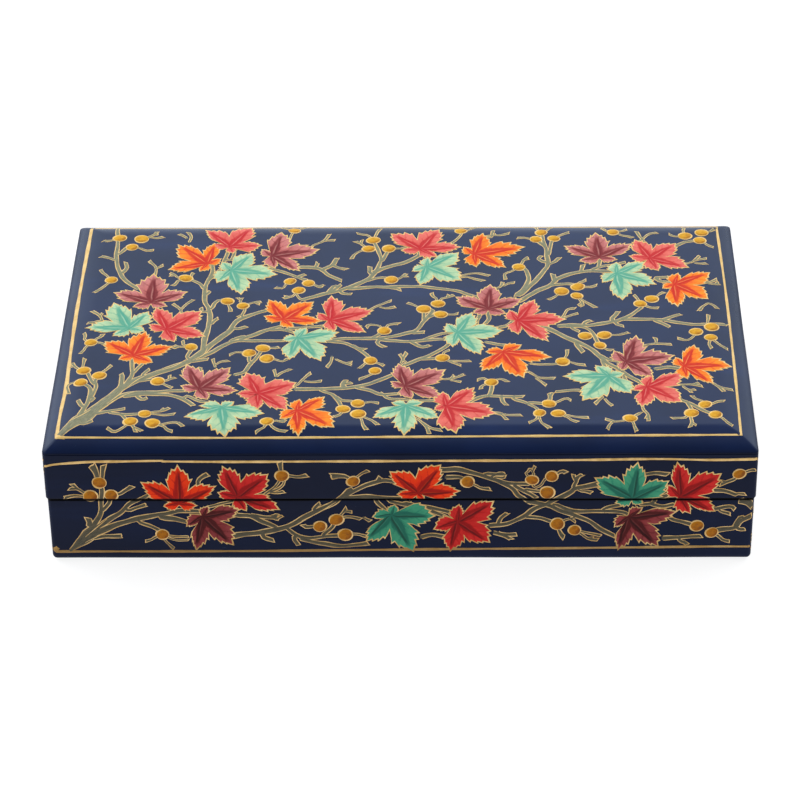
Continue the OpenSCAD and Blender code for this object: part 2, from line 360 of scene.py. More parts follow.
# Black lacquer on the lip, rubbed brown along its upper edge.
def lipLacquer():
    finish = Finish("lip_black", Specular_IOR_Level=0.4, Coat_Weight=0.5, Coat_Roughness=0.2)
    place = finish.place()
    cloud = finish.noise(place, 45, 3, 0.6)
    rub = finish.noise(place, 420, 3, 0.7)
    top = finish.parts(place)[2].step(*lipLook["rubbedHeight"])
    colour = finish.mix(cloud, lipLook["black"], lipLook["grey"])
    colour = finish.mix(top * rub.step(0.50, 0.66) * 0.5, colour, lipLook["rubbed"])
    finish.feed("Base Color", colour)
    finish.feed("Roughness", 0.32 + 0.2 * cloud)
    finish.bump(cloud + rub * 0.3, 0.04, 0.4)
    return finish.material


pileLook = {"deep": (0.008, 0.013, 0.055), "tips": (0.022, 0.034, 0.130), "brushed": (0.040, 0.055, 0.185)}


# Short pile with patches that were brushed another way.
def liningVelvet():
    finish = Finish("lining_velvet", Specular_IOR_Level=0.1, Sheen_Weight=0.55, Sheen_Roughness=0.35,
                    Sheen_Tint=(0.55, 0.62, 0.95, 1.0))
    place = finish.place()
    pile = finish.noise(place, 3200, 2, 0.6)
    brushed = finish.noise(place, 38, 4, 0.6, (1.0, 0.6, 1.0))
    colour = finish.mix(pile.step(0.3, 0.75), pileLook["deep"], pileLook["tips"])
    colour = finish.mix(brushed.step(0.44, 0.66) * 0.55, colour, pileLook["brushed"])
    finish.feed("Base Color", colour)
    finish.feed("Roughness", 0.82 + 0.12 * pile)
    finish.bump(pile + brushed * 0.6, 0.25, 0.8)
    return finish.material


pinLook = {"steel": (0.52, 0.50, 0.47), "tarnish": (0.22, 0.17, 0.13)}


def pinSteel():
    finish = Finish("pin_steel", Metallic=1.0)
    place = finish.place()
    tarnish = finish.noise(place, 800, 3, 0.6)
    finish.feed("Base Color", finish.mix(tarnish.step(0.4, 0.7), pinLook["steel"], pinLook["tarnish"]))
    finish.feed("Roughness", 0.30 + 0.3 * tarnish)
    return finish.material


floorLook = {"glow": (0.875, 0.875, 0.875, 1.0), "pale": (0.17, 0.17, 0.17), "dull": (0.155, 0.155, 0.16)}


# A lit white table: mostly its own light, so that only a faint shadow shows.
def paleFloor():
    finish = Finish("pale_floor", Specular_IOR_Level=0.0, Roughness=0.9, Emission_Strength=1.0,
                    Emission_Color=floorLook["glow"])
    cloud = finish.noise(finish.place(), 3.0, 2, 0.5)
    finish.feed("Base Color", finish.mix(cloud, floorLook["pale"], floorLook["dull"]))
    return finish.material


paints = {
    "navy_lacquer": navyLacquer(), "gold_paint": goldPaint(), "branch_green": branchPaint(),
    "berry_ochre": berryPaint(), "wood_long": carcassWood("carcass_wood_long", "x"),
    "wood_short": carcassWood("carcass_wood_short", "y"), "lip_black": lipLacquer(),
    "lining_velvet": liningVelvet(), "pin_steel": pinSteel(),
    **{"leaf_" + name: leafPaint(name) for name in leafColours},
}
print("finishes ready:", len(paints))


def addMarks(mesh, uvs):
    for layer, values in uvs.items():
        mesh.uv_layers.new(name=layer).data.foreach_set("uv", values.astype(np.float32).ravel())


# Puts points (mm) and whole arrays of quads and triangles into a mesh that rides on a body.
def meshPiece(name, points, quads, tris, body, paint, slot, uvs=None):
    mesh = bpy.data.meshes.new(name)
    quads, tris = np.asarray(quads, int).reshape(-1, 4), np.asarray(tris, int).reshape(-1, 3)
    corners = np.concatenate([quads.ravel(), tris.ravel()])
    starts = np.concatenate([np.arange(len(quads)) * 4, len(quads) * 4 + np.arange(len(tris)) * 3])
    mesh.vertices.add(len(points))
    mesh.vertices.foreach_set("co", (np.asarray(points) * mm).astype(np.float32).ravel())
    mesh.loops.add(len(corners))
    mesh.loops.foreach_set("vertex_index", corners.astype(np.int32))
    mesh.polygons.add(len(starts))
    mesh.polygons.foreach_set("loop_start", starts.astype(np.int32))
    addMarks(mesh, uvs or {})
    mesh.update(calc_edges=True)
    mesh.validate()
    return placed(mesh, body, paint)


sharpAngle = math.radians(38)


def placed(mesh, body, paint):
    mesh.polygons.foreach_set("use_smooth", np.full(len(mesh.polygons), True))
    mesh.set_sharp_from_angle(angle=sharpAngle)
    mesh.materials.append(paints[paint])
    piece = bpy.data.objects.new(mesh.name, mesh)
    bpy.context.scene.collection.objects.link(piece)
    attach(piece, body)
    return piece


# Turns all faces round if the sum of the corner products of their triangles, the volume, is negative.
def turnedOut(points, quads, tris):
    quads, tris = np.asarray(quads, int).reshape(-1, 4), np.asarray(tris, int).reshape(-1, 3)
    a, b, c = (points[k] for k in np.vstack([quads[:, [0, 1, 2]], quads[:, [0, 2, 3]], tris]).T)
    if np.einsum("ij,ij->i", a, np.cross(b, c)).sum() < 0:
        return quads[:, ::-1], tris[:, ::-1]
    return quads, tris


# Quads between the rows of an index grid whose rows are closed rings.
def ringQuads(index):
    side = np.roll(index, -1, 1)
    return np.stack([index[:-1], index[1:], side[1:], side[:-1]], -1).reshape(-1, 4)


# Unevenness of a skin laid and sanded by hand: slow sines that cross each other.
def wave(points):
    x, y, z = points[..., 0], points[..., 1], points[..., 2]
    return (0.040 * np.sin(x / 19 + y / 31 + 0.6) + 0.030 * np.sin(x / 33 - y / 14 + z / 9 + 2.1)
            + 0.014 * np.sin(x / 7.3 + y / 8.1 + z / 6 + 4.0))


shellShape = {
    "roll": 12.0, "crown": 4.4,  # width and rise of the rolled border
    "cornerRadius": 1.6, "mitreRadius": 0.9, "arrisRadius": 0.55, "rimRadius": 0.6,
    "bottomRadius": 2.4, "hemWidth": 7.0, "skin": 1.2, "groove": (0.22, 0.10, 0.62),
    "alongX": 110, "alongY": 64, "alongArc": 7,  # points along a long side, a short side and a corner
    "lap": 0.02, "slit": 0.5,  # how far the core lies within the skin; half the strip left in the middle
}
rollRadius = (shellShape["roll"] ** 2 + shellShape["crown"] ** 2) / (2 * shellShape["crown"])


# Points and outward directions round a rectangle with round corners, anticlockwise from front left.
def loopOf(halfX, halfY, radius):
    turn = np.linspace(0, math.pi / 2, shellShape["alongArc"])
    spots, outs = [], []
    corners = [(-1, -1, math.pi), (1, -1, 1.5 * math.pi), (1, 1, 0.0), (-1, 1, 0.5 * math.pi)]
    for k, (sx, sy, start) in enumerate(corners):
        out = np.stack([np.cos(start + turn), np.sin(start + turn)], 1)
        arc = np.array([sx * (halfX - radius), sy * (halfY - radius)]) + radius * out
        nx, ny, nextStart = corners[(k + 1) % 4]
        end = np.array([nx * (halfX - radius), ny * (halfY - radius)])
        end = end + radius * np.array([math.cos(nextStart), math.sin(nextStart)])
        count = shellShape["alongX"] if k % 2 == 0 else shellShape["alongY"]
        share = np.linspace(0, 1, count + 2)[1:-1, None]
        spots += [arc, arc[-1] + share * (end - arc[-1])]
        outs += [out, np.repeat(out[-1:], count, 0)]
    return np.vstack(spots), np.vstack(outs)


# Fans that close the first and the last ring of a grid round two middle points, the first of them `middle`.
def fans(index, middle):
    side, around = np.roll(index, -1, 1), index.shape[1]
    return (np.stack([index[0], side[0], np.full(around, middle)], 1),
            np.stack([side[-1], index[-1], np.full(around, middle + 1)], 1))


# Closes a narrow ring: quads from its front to its back, and a fan round a middle point at either end.
def bridged(ring, points):
    arc, alongX, alongY = (shellShape[key] for key in ("alongArc", "alongX", "alongY"))
    front, back = np.arange(alongX) + arc, np.arange(alongX)[::-1] + 3 * arc + alongX + alongY
    quads = ring[np.stack([front[:-1], front[1:], back[1:], back[:-1]], 1)]
    tris, middles = [], []
    for first, last in ((front[-1], back[-1]), (back[0], front[0] + len(ring))):
        run = ring[np.arange(first, last + 1) % len(ring)]
        middles.append(points[run[[0, arc, -arc - 1, -1]]].mean(0))
        tris.append(np.stack([run, np.roll(run, -1), np.full(len(run), len(points) + len(tris))], 1))
    return quads, np.vstack(tris), np.array(middles)


# Carries a profile round the plan. Each profile point is (inset, height, outward part, upward part).
def shell(box, profile, closed):
    halfX, halfY = box[1][0], box[1][1]
    rings = []
    for inset, height, outward, upward in profile:
        radius = max(shellShape["mitreRadius"], shellShape["cornerRadius"] - inset)
        radius = min(radius, (halfY - inset) * 0.8)
        spots, outs = loopOf(halfX - inset, halfY - inset, radius)
        base = np.column_stack([spots, np.full(len(spots), height)])
        normal = np.column_stack([outs * outward, np.full(len(spots), upward)])
        rings.append(base + normal * wave(base)[:, None])
    around, count = len(rings[0]), len(rings)
    points = np.vstack(rings)
    index = np.arange(count * around).reshape(count, around)
    if closed:
        index = np.vstack([index, index[:1]])
    quads, tris = ringQuads(index), np.zeros((0, 3), int)
    if not closed:
        for ring, turned in ((index[0], 1), (index[-1], -1)):
            across, ends, middles = bridged(ring, points)
            quads, tris = np.vstack([quads, across[:, ::turned]]), np.vstack([tris, ends[:, ::turned]])
            points = np.vstack([points, middles])
    return (points, *turnedOut(points, quads, tris))


# Profile points on an arc; the angle is from straight up (0) over outwards (90) to down (180).
def bend(centreInset, centreHeight, radius, first, last, count):
    turns = [(math.sin(a), math.cos(a)) for a in np.radians(np.linspace(first, last, count))]
    return [(centreInset - radius * s, centreHeight + radius * c, s, c) for s, c in turns]


def flat(insets, heights, outward, upward):
    return [(i, h, outward, upward) for i, h in zip(insets, heights)]


def lidProfile():
    s = shellShape
    top, rim = lidBox[1][2], lidBox[0][2]
    centre = top - rollRadius
    r = s["arrisRadius"]
    arris = centre + math.sqrt((rollRadius - r) ** 2 - (s["roll"] - r) ** 2)  # both arcs touch here
    meet = math.degrees(math.atan2(s["roll"] - r, arris - centre))
    core = s["skin"] - s["lap"]
    bevel = (s["roll"] - s["skin"]) * s["crown"] / s["roll"]
    inner = top - s["skin"] + s["lap"]
    middle = lidBox[1][1] - s["slit"]
    field = flat(np.linspace(middle, s["roll"] + 0.5, 18), [top] * 18, 0, 1)
    roll = bend(s["roll"], centre, rollRadius, 0, meet, 27)
    edge = bend(r, arris, r, meet, 90, 8)[1:]
    depth, low, high = s["groove"]  # the fine sunk line under the arris
    groove = flat([0, depth * 0.8, depth, depth * 0.8, 0], np.linspace(arris - low, arris - high, 5), 1, 0)
    side = flat([0] * 9, np.linspace(arris - high, rim + s["rimRadius"], 9)[1:], 1, 0)
    foot = bend(s["rimRadius"], rim + s["rimRadius"], s["rimRadius"], 90, 180, 7)[1:]
    inside = [(core, rim, 0, -1), (core, inner - bevel, 0, 0), (s["roll"], inner, 0, 0),
              (middle, inner, 0, 0)]
    return field + roll + edge + groove + side + foot + inside


def baseProfile():
    s = shellShape
    rim, hem = baseBox[1][2], baseBox[0][2]
    r, b = s["rimRadius"], s["bottomRadius"]
    core, turned = s["skin"] - s["lap"], s["skin"] + s["hemWidth"]
    head = bend(r, rim - r, r, 0, 90, 7)
    side = flat([0] * 11, np.linspace(rim - r, hem + b, 11)[1:], 1, 0)
    foot = bend(b, hem + b, b, 90, 180, 12)[1:]
    under = flat([turned - 0.3, turned], [hem, hem + 0.3], 0, 0)
    back = flat([turned, core, core], [hem + s["skin"], hem + s["skin"], rim], 0, 0)
    return head + side + foot + under + back


for name, box, profile, closed, body, node in (
        ("lid_shell", lidBox, lidProfile(), False, "lid", "lid_skin"),
        ("base_shell", baseBox, baseProfile(), True, "base", "base_skin")):
    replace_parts(meshPiece(name, *shell(box, profile, closed), body, "navy_lacquer", "navy_lacquer"), node)
print("lacquered shells made")


# The crowned top: level, then one arc falling to the arris; its normal tilts outwards on the arc.
def topPlace(u, v):
    edgeX, edgeY = lidBox[1][0] - np.abs(u), lidBox[1][1] - np.abs(v)
    inset = np.minimum(edgeX, edgeY)
    fall = np.clip(shellShape["roll"] - inset, 0, None)
    height = lidBox[1][2] - rollRadius + np.sqrt(rollRadius ** 2 - fall ** 2)
    lean = fall / rollRadius
    overX = edgeX <= edgeY
    normal = np.stack([np.where(overX, np.sign(u) * lean, 0), np.where(overX, 0, np.sign(v) * lean),
                       np.sqrt(1 - lean ** 2)], -1)
    return np.stack([u, v, height], -1), normal


# An upright side, turned in at the two rims of the seam, at the bottom edge and round the upright corners.
def sidePlace(out, along):
    def place(u, v):
        onLid = v > seam
        box, end = (np.where(onLid, np.abs(lidBox[1] @ way), np.abs(baseBox[1] @ way))
                    for way in (out, along))
        r, b, c = shellShape["rimRadius"], shellShape["bottomRadius"], shellShape["cornerRadius"]
        toRim = np.where(onLid, v - lidBox[0][2], baseBox[1][2] - v)
        short = np.clip(r - toRim, 0, r) / r
        low = np.clip(b - (v - baseBox[0][2]), 0, b) / b
        drawn = r * (1 - np.sqrt(1 - short ** 2)) + b * (1 - np.sqrt(1 - low ** 2))
        over = np.clip(np.abs(u) - (end - c), 0, None)
        corner = np.maximum(c - drawn, shellShape["mitreRadius"])
        rest = np.sqrt(np.clip(corner ** 2 - over ** 2, 0, None))
        spot = np.multiply.outer(box - drawn - corner + rest, out) + np.multiply.outer(u, along)
        spot[..., 2] = v
        normal = np.multiply.outer(rest / corner, out) + np.multiply.outer(np.sign(u) * over / corner, along)
        return spot, normal
    return place


faces = {  # where a drawing's right, up and out go in the shared frame
    "top": topPlace,
    "front": sidePlace(np.array([0.0, -1, 0]), np.array([1.0, 0, 0])),
    "back": sidePlace(np.array([0.0, 1, 0]), np.array([-1.0, 0, 0])),
    "left": sidePlace(np.array([-1.0, 0, 0]), np.array([0.0, -1, 0])),
    "right": sidePlace(np.array([1.0, 0, 0]), np.array([0.0, 1, 0])),
}


# Lays a drawing (right, up, thickness) on a face, over the same unevenness as the shell has.
def laid(face, drawn):
    spot, normal = faces[face](drawn[:, 0], drawn[:, 1])
    return spot + normal * (wave(spot) + drawn[:, 2])[:, None]


# Gathers raised paint of one colour: closed forms as whole arrays, with their marks for the shader.
class Relief:
    def __init__(self):
        self.points, self.quads, self.tris, self.lobes, self.rims = [], [], [], [[], []], [[], []]
        self.count = 0

    def add(self, points, quads, tris, lobe, rim):  # lobe: for each point, or for the corners of each face
        self.points.append(points)
        self.quads.append(quads + self.count)
        self.tris.append(tris + self.count)
        for store, values in ((self.lobes, lobe), (self.rims, rim)):
            if not isinstance(values, tuple):
                values = values[quads], values[tris]
            for kept, new in zip(store, values):
                kept.append(new.reshape(-1, 2))
        self.count += len(points)

    def arrays(self):
        uvs = {layer: np.vstack(a + b) for layer, (a, b) in (("lobe", self.lobes), ("rim", self.rims))}
        return np.vstack(self.points), np.vstack(self.quads), np.vstack(self.tris), uvs


paintLook = {
    "sink": 0.06, "shoulder": 0.8,  # how far a form's edge goes into the lacquer; height next to the edge
    "frameLine": 0.05, "branchGold": 0.035, "branch": 0.075, "berryGold": 0.085, "berry": 0.115,
    "forkLine": 0.10, "leafGold": 0.105, "leaf": 0.13,  # heights over the lacquer
    "outline": 0.29, "leafOutline": 0.27,  # width of the gold line round a branch and a leaf
    "berryRadius": 2.7, "berryRing": 0.20, "berryInset": 0.12, "berryDome": 0.04, "forkHalf": 0.20,
    "step": 1.3, "lineStep": 2.0,
    "sideBold": 1.05,  # the strokes on the sides are a little wider
}


# A Catmull-Rom curve through the points, cut into even steps
def smoothPath(points, step):
    p = np.asarray(points, float)
    p = np.vstack([2 * p[0] - p[1], p, 2 * p[-1] - p[-2]])
    a, b, c, d = p[:-3], p[1:-2], p[2:-1], p[3:]
    t = np.linspace(0, 1, 10)[:-1, None, None]
    curve = 0.5 * (2 * b + (c - a) * t + (2 * a - 5 * b + 4 * c - d) * t ** 2
                   + (3 * b - a - 3 * c + d) * t ** 3)
    curve = np.vstack([curve.transpose(1, 0, 2).reshape(-1, 2), p[-2]])
    run = np.concatenate([[0], np.cumsum(np.hypot(*np.diff(curve, axis=0).T))])
    even = np.linspace(0, run[-1], max(4, int(math.ceil(run[-1] / step)) + 1))
    return np.stack([np.interp(even, run, curve[:, k]) for k in (0, 1)], 1), even


# Unit vectors along a path and to the left of it
def directions(path):
    tangent = np.gradient(path, axis=0)
    tangent /= np.hypot(*tangent.T)[:, None]
    return tangent, np.stack([-tangent[:, 1], tangent[:, 0]], 1)


# A sum of sine waves along a run; each wave is (size, length over 2 pi) and has its own phase.
def waves(run, phases, *sizes):
    return sum(size * np.sin(run / length + phase) for phase, (size, length) in zip(phases, sizes))


ribbonShares = np.array([-1, -0.78, 0, 0.78, 1])


# A flat-topped band along a path: five points across, closed below and at both ends; its last row is
# pushed along the path by `cut`
def ribbon(relief, path, run, left, right, height, seed, cut=0.0):
    tangent, across = directions(path)
    sink, shoulder = -paintLook["sink"], height * paintLook["shoulder"]
    lifts = np.array([sink, shoulder, height, shoulder, sink])
    reach = np.where(ribbonShares < 0, right[:, None] * ribbonShares, left[:, None] * ribbonShares)
    spots = path[:, None, :] + reach[..., None] * across[:, None, :]
    spots[-1] += np.multiply.outer(np.broadcast_to(cut, 5), tangent[-1])
    points = np.concatenate([spots, np.broadcast_to(lifts[None, :, None], (*spots.shape[:2], 1))], 2)
    n = len(path)
    quads = ringQuads(np.arange(n * 5).reshape(n, 5))
    fan = np.array([[0, 1, 2], [0, 2, 3], [0, 3, 4]])
    tris = np.vstack([fan, fan[:, ::-1] + (n - 1) * 5])
    marks = np.stack(np.broadcast_arrays(run[:, None] / 10, ribbonShares[None, :]), -1).reshape(-1, 2)
    rims = np.broadcast_to([0.0, seed], marks.shape)
    relief.add(points.reshape(-1, 3), quads, tris, marks, rims)


branchShape = {
    "wander": ((0.10, 2.9), (0.06, 1.3)), "swell": (0.10, 2.3),  # waves: size, length over 2 pi
    "leftEdge": ((0.28, 1.9), (0.15, 0.8)), "rightEdge": ((0.28, 2.2), (0.15, 0.9)),
    "extra": 0.06, "flareLength": 1.4, "endWidth": 0.75, "into": 0.55,  # mm
    "prongAt": 0.6, "prongWidths": (0.4, 0.5, 0.8), "prongLength": (1.5, 2.4), "prongLean": (32, 58),
}


# A green band over a wider gold one that shows as its outline. The far end is cut askew, with a nick in it;
# `prong` is the chance of a second point beside it.
def drawBranch(green, gold, widths, points, rng, bold, flare=0.0, prong=0.0):
    look, line = branchShape, paintLook["outline"] * bold
    path, run = smoothPath(points, paintLook["step"])
    seed, phase = rng.random(), rng.uniform(0, 6.28, 6)
    tangent, across = directions(path)
    path = path + across * waves(run, phase, *look["wander"])[:, None]
    half = (np.interp(run / run[-1], np.linspace(0, 1, len(widths)), widths) / 2 + look["extra"]) * bold
    half = half * (1 + waves(run, phase[2:], look["swell"])
                   + flare * np.exp(-((run[-1] - run) / look["flareLength"]) ** 2))
    skew, nick = rng.choice([-1.0, 1.0]) * rng.uniform(0.2, 0.9), rng.uniform(-0.3, 0.9)
    askew = skew * ribbonShares + nick * (np.abs(ribbonShares) - 0.5)
    end = min(half[-1], look["endWidth"])
    deeper = path.copy()
    deeper[0] -= tangent[0] * look["into"]  # the start runs into whatever carries the branch
    ribbon(green, deeper, run, half, half, paintLook["branch"] + 0.012 * seed, seed, end * askew)
    left = half + line * (1 + waves(run, phase[3:], *look["leftEdge"]))
    right = half + line * (1 + waves(run, phase[[5, 1]], *look["rightEdge"]))
    ribbon(gold, path, run, left, right, paintLook["branchGold"] + 0.008 * seed, seed,
           (end + line) * askew + line * math.hypot(1, skew))
    if rng.random() < prong and run[-1] > 2.5:
        at = int(look["prongAt"] * len(path))
        lean = math.radians(rng.uniform(*look["prongLean"])) * rng.choice([-1, 1])
        out = math.cos(lean) * tangent[at] + math.sin(lean) * across[at]
        tip = path[at] + out * rng.uniform(*look["prongLength"])
        drawBranch(green, gold, look["prongWidths"], [path[at], tip], rng, bold)


# A ruled gold line whose width swells and thins with the brush
def drawLine(gold, points, width, rng):
    path, run = smoothPath(points, paintLook["lineStep"])
    phase = rng.uniform(0, 6.28, 3)
    half = width / 2 * (1 + waves(run, phase, (0.14, 7), (0.08, 2.1)))
    ribbon(gold, path, run, half, half, paintLook["frameLine"], phase[2] / 7)


discShape = {"around": 18, "rings": (0.35, 0.65, 0.88, 1.0), "domeShares": (0.9, 0.6)}


# A low dome: rings about one middle point, its outline a circle with a little wobble.
def disc(relief, centre, radiusX, radiusY, turn, height, dome, seed, wobble, rng):
    around, shares = discShape["around"], np.array(discShape["rings"])
    a = np.linspace(0, 2 * math.pi, around, endpoint=False)
    phase = rng.uniform(0, 6.28, 2)
    size = 1 + wobble * (np.sin(2 * a + phase[0]) + 0.6 * np.sin(3 * a + phase[1]))
    lifts = np.array([*(height + dome * k for k in discShape["domeShares"]), height, -paintLook["sink"]])
    unit = np.stack([np.cos(a), np.sin(a)], 1) * size[:, None]
    spots = shares[:, None, None] * unit[None]
    c, s = math.cos(turn), math.sin(turn)
    x, y = spots[..., 0] * radiusX, spots[..., 1] * radiusY
    points = np.stack([centre[0] + c * x - s * y, centre[1] + s * x + c * y,
                       np.broadcast_to(lifts[:, None], x.shape)], -1).reshape(-1, 3)
    points = np.vstack([points, [*centre, height + dome], [*centre, -paintLook["sink"]]])
    index = np.arange(4 * around).reshape(4, around)
    tris = np.vstack(fans(index, 4 * around))
    marks = np.vstack([spots.reshape(-1, 2), [[0, 0], [0, 0]]])
    rims = np.stack([np.hypot(*marks.T), np.full(len(marks), seed)], 1)
    relief.add(points, ringQuads(index), tris, marks, rims)


def drawBerry(ochre, gold, centre, rng, bold):
    seed = rng.random()
    radius = paintLook["berryRadius"] * rng.uniform(0.90, 1.08)
    turn, squash, ring = rng.uniform(-0.7, 0.7), rng.uniform(0.84, 1.0), paintLook["berryRing"] * bold
    disc(gold, centre, radius + ring, radius * squash + ring, turn, paintLook["berryGold"], 0, seed,
         0.025, rng)
    inset = paintLook["berryInset"]
    off = rng.uniform(-inset, inset, 2)
    disc(ochre, (centre[0] + off[0], centre[1] + off[1]), radius - inset, radius * squash - inset, turn,
         paintLook["berry"], paintLook["berryDome"], seed, 0.04, rng)


leafShape = {
    "sinus": 0.45, "halfWidth": 0.37, "stalkNotch": 0.14, "notchAt": 0.05, "jitter": 0.017,
    "smallLobe": 12, "smallWider": 1.15,  # lobes shorter than this, in mm, are wider for their length
    "toothAt": 0.635, "clear": 0.76,  # where the largest tooth is, and its share of the way to the next lobe
    # half a lobe from the notch to the tip: share of the length, share of the half width
    # (each tooth points forward, and the angle at the stalk only ever falls towards the tip)
    "inner": ((0.52, 0.90), (0.64, 1.00), (0.625, 0.80), (0.79, 0.74), (0.765, 0.54),
              (0.885, 0.44), (0.865, 0.28)),
    "outer": ((0.18, 0.56), (0.30, 0.84), (0.41, 1.08), (0.43, 0.86), (0.64, 0.98), (0.625, 0.72),
              (0.82, 0.60), (0.80, 0.40)),
    "rings": (0.16, 0.32, 0.48, 0.64, 0.79, 0.91, 0.972, 1.0),
    "pieceLength": 1.4, "mitreLimit": 2.3, "rimWidths": (0.78, 1.25),
    "goldFrom": (0.93, 0.955), "goldTo": 0.75, "goldFall": 0.9,  # the gold rim's inner rows and shoulder
}


# Corner points anticlockwise round a leaf, and which lobe each side belongs to.
# Each lobe is a half profile on either side of its vein; it meets its neighbour halfway between the
# two veins, at a share of the shorter one, and a tooth never reaches past that middle line.
def leafOutline(base, tips, rng):
    s = leafShape
    arms = np.asarray(tips, float) - base
    middle = arms.sum(0)
    angles = np.arctan2(arms[:, 1], arms[:, 0]) - math.atan2(middle[1], middle[0])
    angles = (angles + math.pi) % (2 * math.pi) - math.pi
    order = np.argsort(angles)
    arms, angles = arms[order], angles[order]
    lengths = np.hypot(*arms.T)
    corners, lobes = [], []
    for i in range(len(arms)):
        along = arms[i] / lengths[i]
        over = np.array([-along[1], along[0]])
        for side in (-1, 1):
            j = i + side
            hasNext = 0 <= j < len(arms)
            shape = s["inner"] if hasNext else s["outer"]
            wide = s["halfWidth"] * (1.0 if lengths[i] > s["smallLobe"] else s["smallWider"])
            if hasNext:
                gap = abs(angles[j] - angles[i]) / 2
                wide = min(wide, s["toothAt"] * math.tan(gap) * s["clear"])
            run = [(a * lengths[i], side * w * wide * lengths[i]) for a, w in shape]
            run = np.array(run) + rng.uniform(-s["jitter"], s["jitter"], (len(run), 2)) * lengths[i]
            spots = base + run[:, :1] * along + run[:, 1:] * over
            stalk = base + (along * s["notchAt"] + side * over * s["stalkNotch"]) * lengths[i]
            if side == -1:
                corners.append(notch if hasNext else stalk)
                lobes.append(i)
                corners += list(spots) + [base + arms[i]]
                lobes += [i] * (len(spots) + 1)
            else:
                corners += list(spots[::-1])
                lobes += [i] * len(spots)
                if hasNext:
                    depth = s["sinus"] * rng.uniform(0.90, 1.08) * min(lengths[i], lengths[j])
                    bisector = arms[i] / lengths[i] + arms[j] / lengths[j]
                    notch = base + bisector / np.hypot(*bisector) * depth
                else:
                    corners.append(stalk)
                    lobes.append(i)
    return np.array(corners), np.array(lobes), arms, lengths


# Turns a point back to the middle line between two lobes where it has passed over it.
def withinLobes(spots, base, lobe, arms):
    veins = np.arctan2(arms[:, 1], arms[:, 0])
    gaps = (np.diff(veins) + math.pi) % (2 * math.pi) - math.pi
    before = np.concatenate([[math.pi], gaps / 2])[lobe]
    after = np.concatenate([gaps / 2, [math.pi]])[lobe]
    arm = spots - base
    swing = (np.arctan2(arm[:, 1], arm[:, 0]) - veins[lobe] + math.pi) % (2 * math.pi) - math.pi
    held = np.clip(swing, -before, after)
    heading = held + veins[lobe]
    return base + np.hypot(*arm.T)[:, None] * np.stack([np.cos(heading), np.sin(heading)], 1), held != swing


# The outline scaled towards the stalk in rings, with a gold rim round it that overshoots the teeth.
def drawLeaf(paint, gold, base, tips, rng, bold):
    base = np.asarray(base, float)
    corners, lobes, arms, lengths = leafOutline(base, tips, rng)
    seed = rng.random()
    nxt = np.roll(corners, -1, 0)
    pieces = np.maximum(1, np.ceil(np.hypot(*(nxt - corners).T) / leafShape["pieceLength"]).astype(int))
    owner = np.repeat(np.arange(len(corners)), pieces)
    first = np.concatenate([[0], np.cumsum(pieces)[:-1]])
    share = (np.arange(len(owner)) - first[owner]) / pieces[owner]
    outline = corners[owner] + share[:, None] * (nxt - corners)[owner]
    lobe = lobes[owner]
    n, rings = len(outline), np.array(leafShape["rings"])
    height = paintLook["leaf"] + 0.02 * seed
    lifts = np.full(len(rings), height)
    lifts[-2:] = height * paintLook["shoulder"], -paintLook["sink"]
    flatSpots = base + rings[:, None, None] * (outline - base)[None]
    points = np.column_stack([flatSpots.reshape(-1, 2), np.repeat(lifts, n)])
    points = np.vstack([points, [*base, height], [*base, -paintLook["sink"]]])
    index = np.arange(len(rings) * n).reshape(len(rings), n)
    quads, tris = ringQuads(index), np.vstack(fans(index, len(points) - 2))

    def marks(cornerIndex, lobeOf):
        p = points[cornerIndex][..., :2] - base
        along = (arms / lengths[:, None])[lobeOf][:, None]
        size = lengths[lobeOf][:, None]
        u = (p * along).sum(-1) / size
        v = (p[..., 1] * along[..., 0] - p[..., 0] * along[..., 1]) / size
        return np.stack([u, v], -1)

    ringOf = np.concatenate([np.repeat(rings, n), [0, 0]])
    rims = np.stack([ringOf, np.full(len(ringOf), seed)], 1)
    lobeMarks = (marks(quads, np.tile(lobe, len(rings) - 1)), marks(tris, np.tile(lobe, 2)))
    paint.add(points, quads, tris, lobeMarks, rims)

    before = outline - np.roll(outline, 1, 0)
    after = np.roll(outline, -1, 0) - outline
    n1, n2 = (np.stack([e[:, 1], -e[:, 0]], 1) / np.hypot(*e.T)[:, None] for e in (before, after))
    mitre = (n1 + n2) / (1 + (n1 * n2).sum(1))[:, None]
    long = np.hypot(*mitre.T)
    mitre *= (np.minimum(long, leafShape["mitreLimit"]) / long)[:, None]
    width = paintLook["leafOutline"] * bold * rng.uniform(*leafShape["rimWidths"], n)
    outer, met = withinLobes(outline + mitre * width[:, None], base, lobe, arms)
    sink, lift = -paintLook["sink"], paintLook["leafGold"]
    foot = np.where(met, lift * paintLook["shoulder"], sink)  # two rims that meet stay up
    inner = [base + share * (outline - base) for share in leafShape["goldFrom"]]
    crest = outline + leafShape["goldTo"] * (outer - outline)
    loops = zip((*inner, crest, outer), (sink, lift, lift * leafShape["goldFall"], foot))
    points = np.vstack([np.column_stack([spots, np.broadcast_to(height, n)]) for spots, height in loops])
    index = np.arange(4 * n).reshape(4, n)
    blank = np.zeros((len(points), 2))
    gold.add(points, ringQuads(np.vstack([index, index[:1]])), np.zeros((0, 3), int), blank, blank)


# Colour, stalk end, then five tips, as x,y pairs
def readLeaves(text):
    rows = [line.split(maxsplit=1) for line in text.strip().splitlines()]
    return [(colour, readPairs(points)) for colour, points in rows]


# Gold lines that run on down a trunk from a fork
def readPaths(text):
    return [readPairs(line) for line in text.strip().splitlines()]


def readPairs(text):
    return [tuple(map(float, word.split(","))) for word in text.split() if "," in word]


twigWidths = [0.50, 0.60, 0.95]


# Widths along the stroke, then points; a row without widths is a short twig
def readStrokes(text):
    made = []
    for row in text.strip().splitlines():
        widths = [float(word) for word in row.split() if "," not in word]
        made.append((widths or twigWidths, readPairs(row)))
    return made


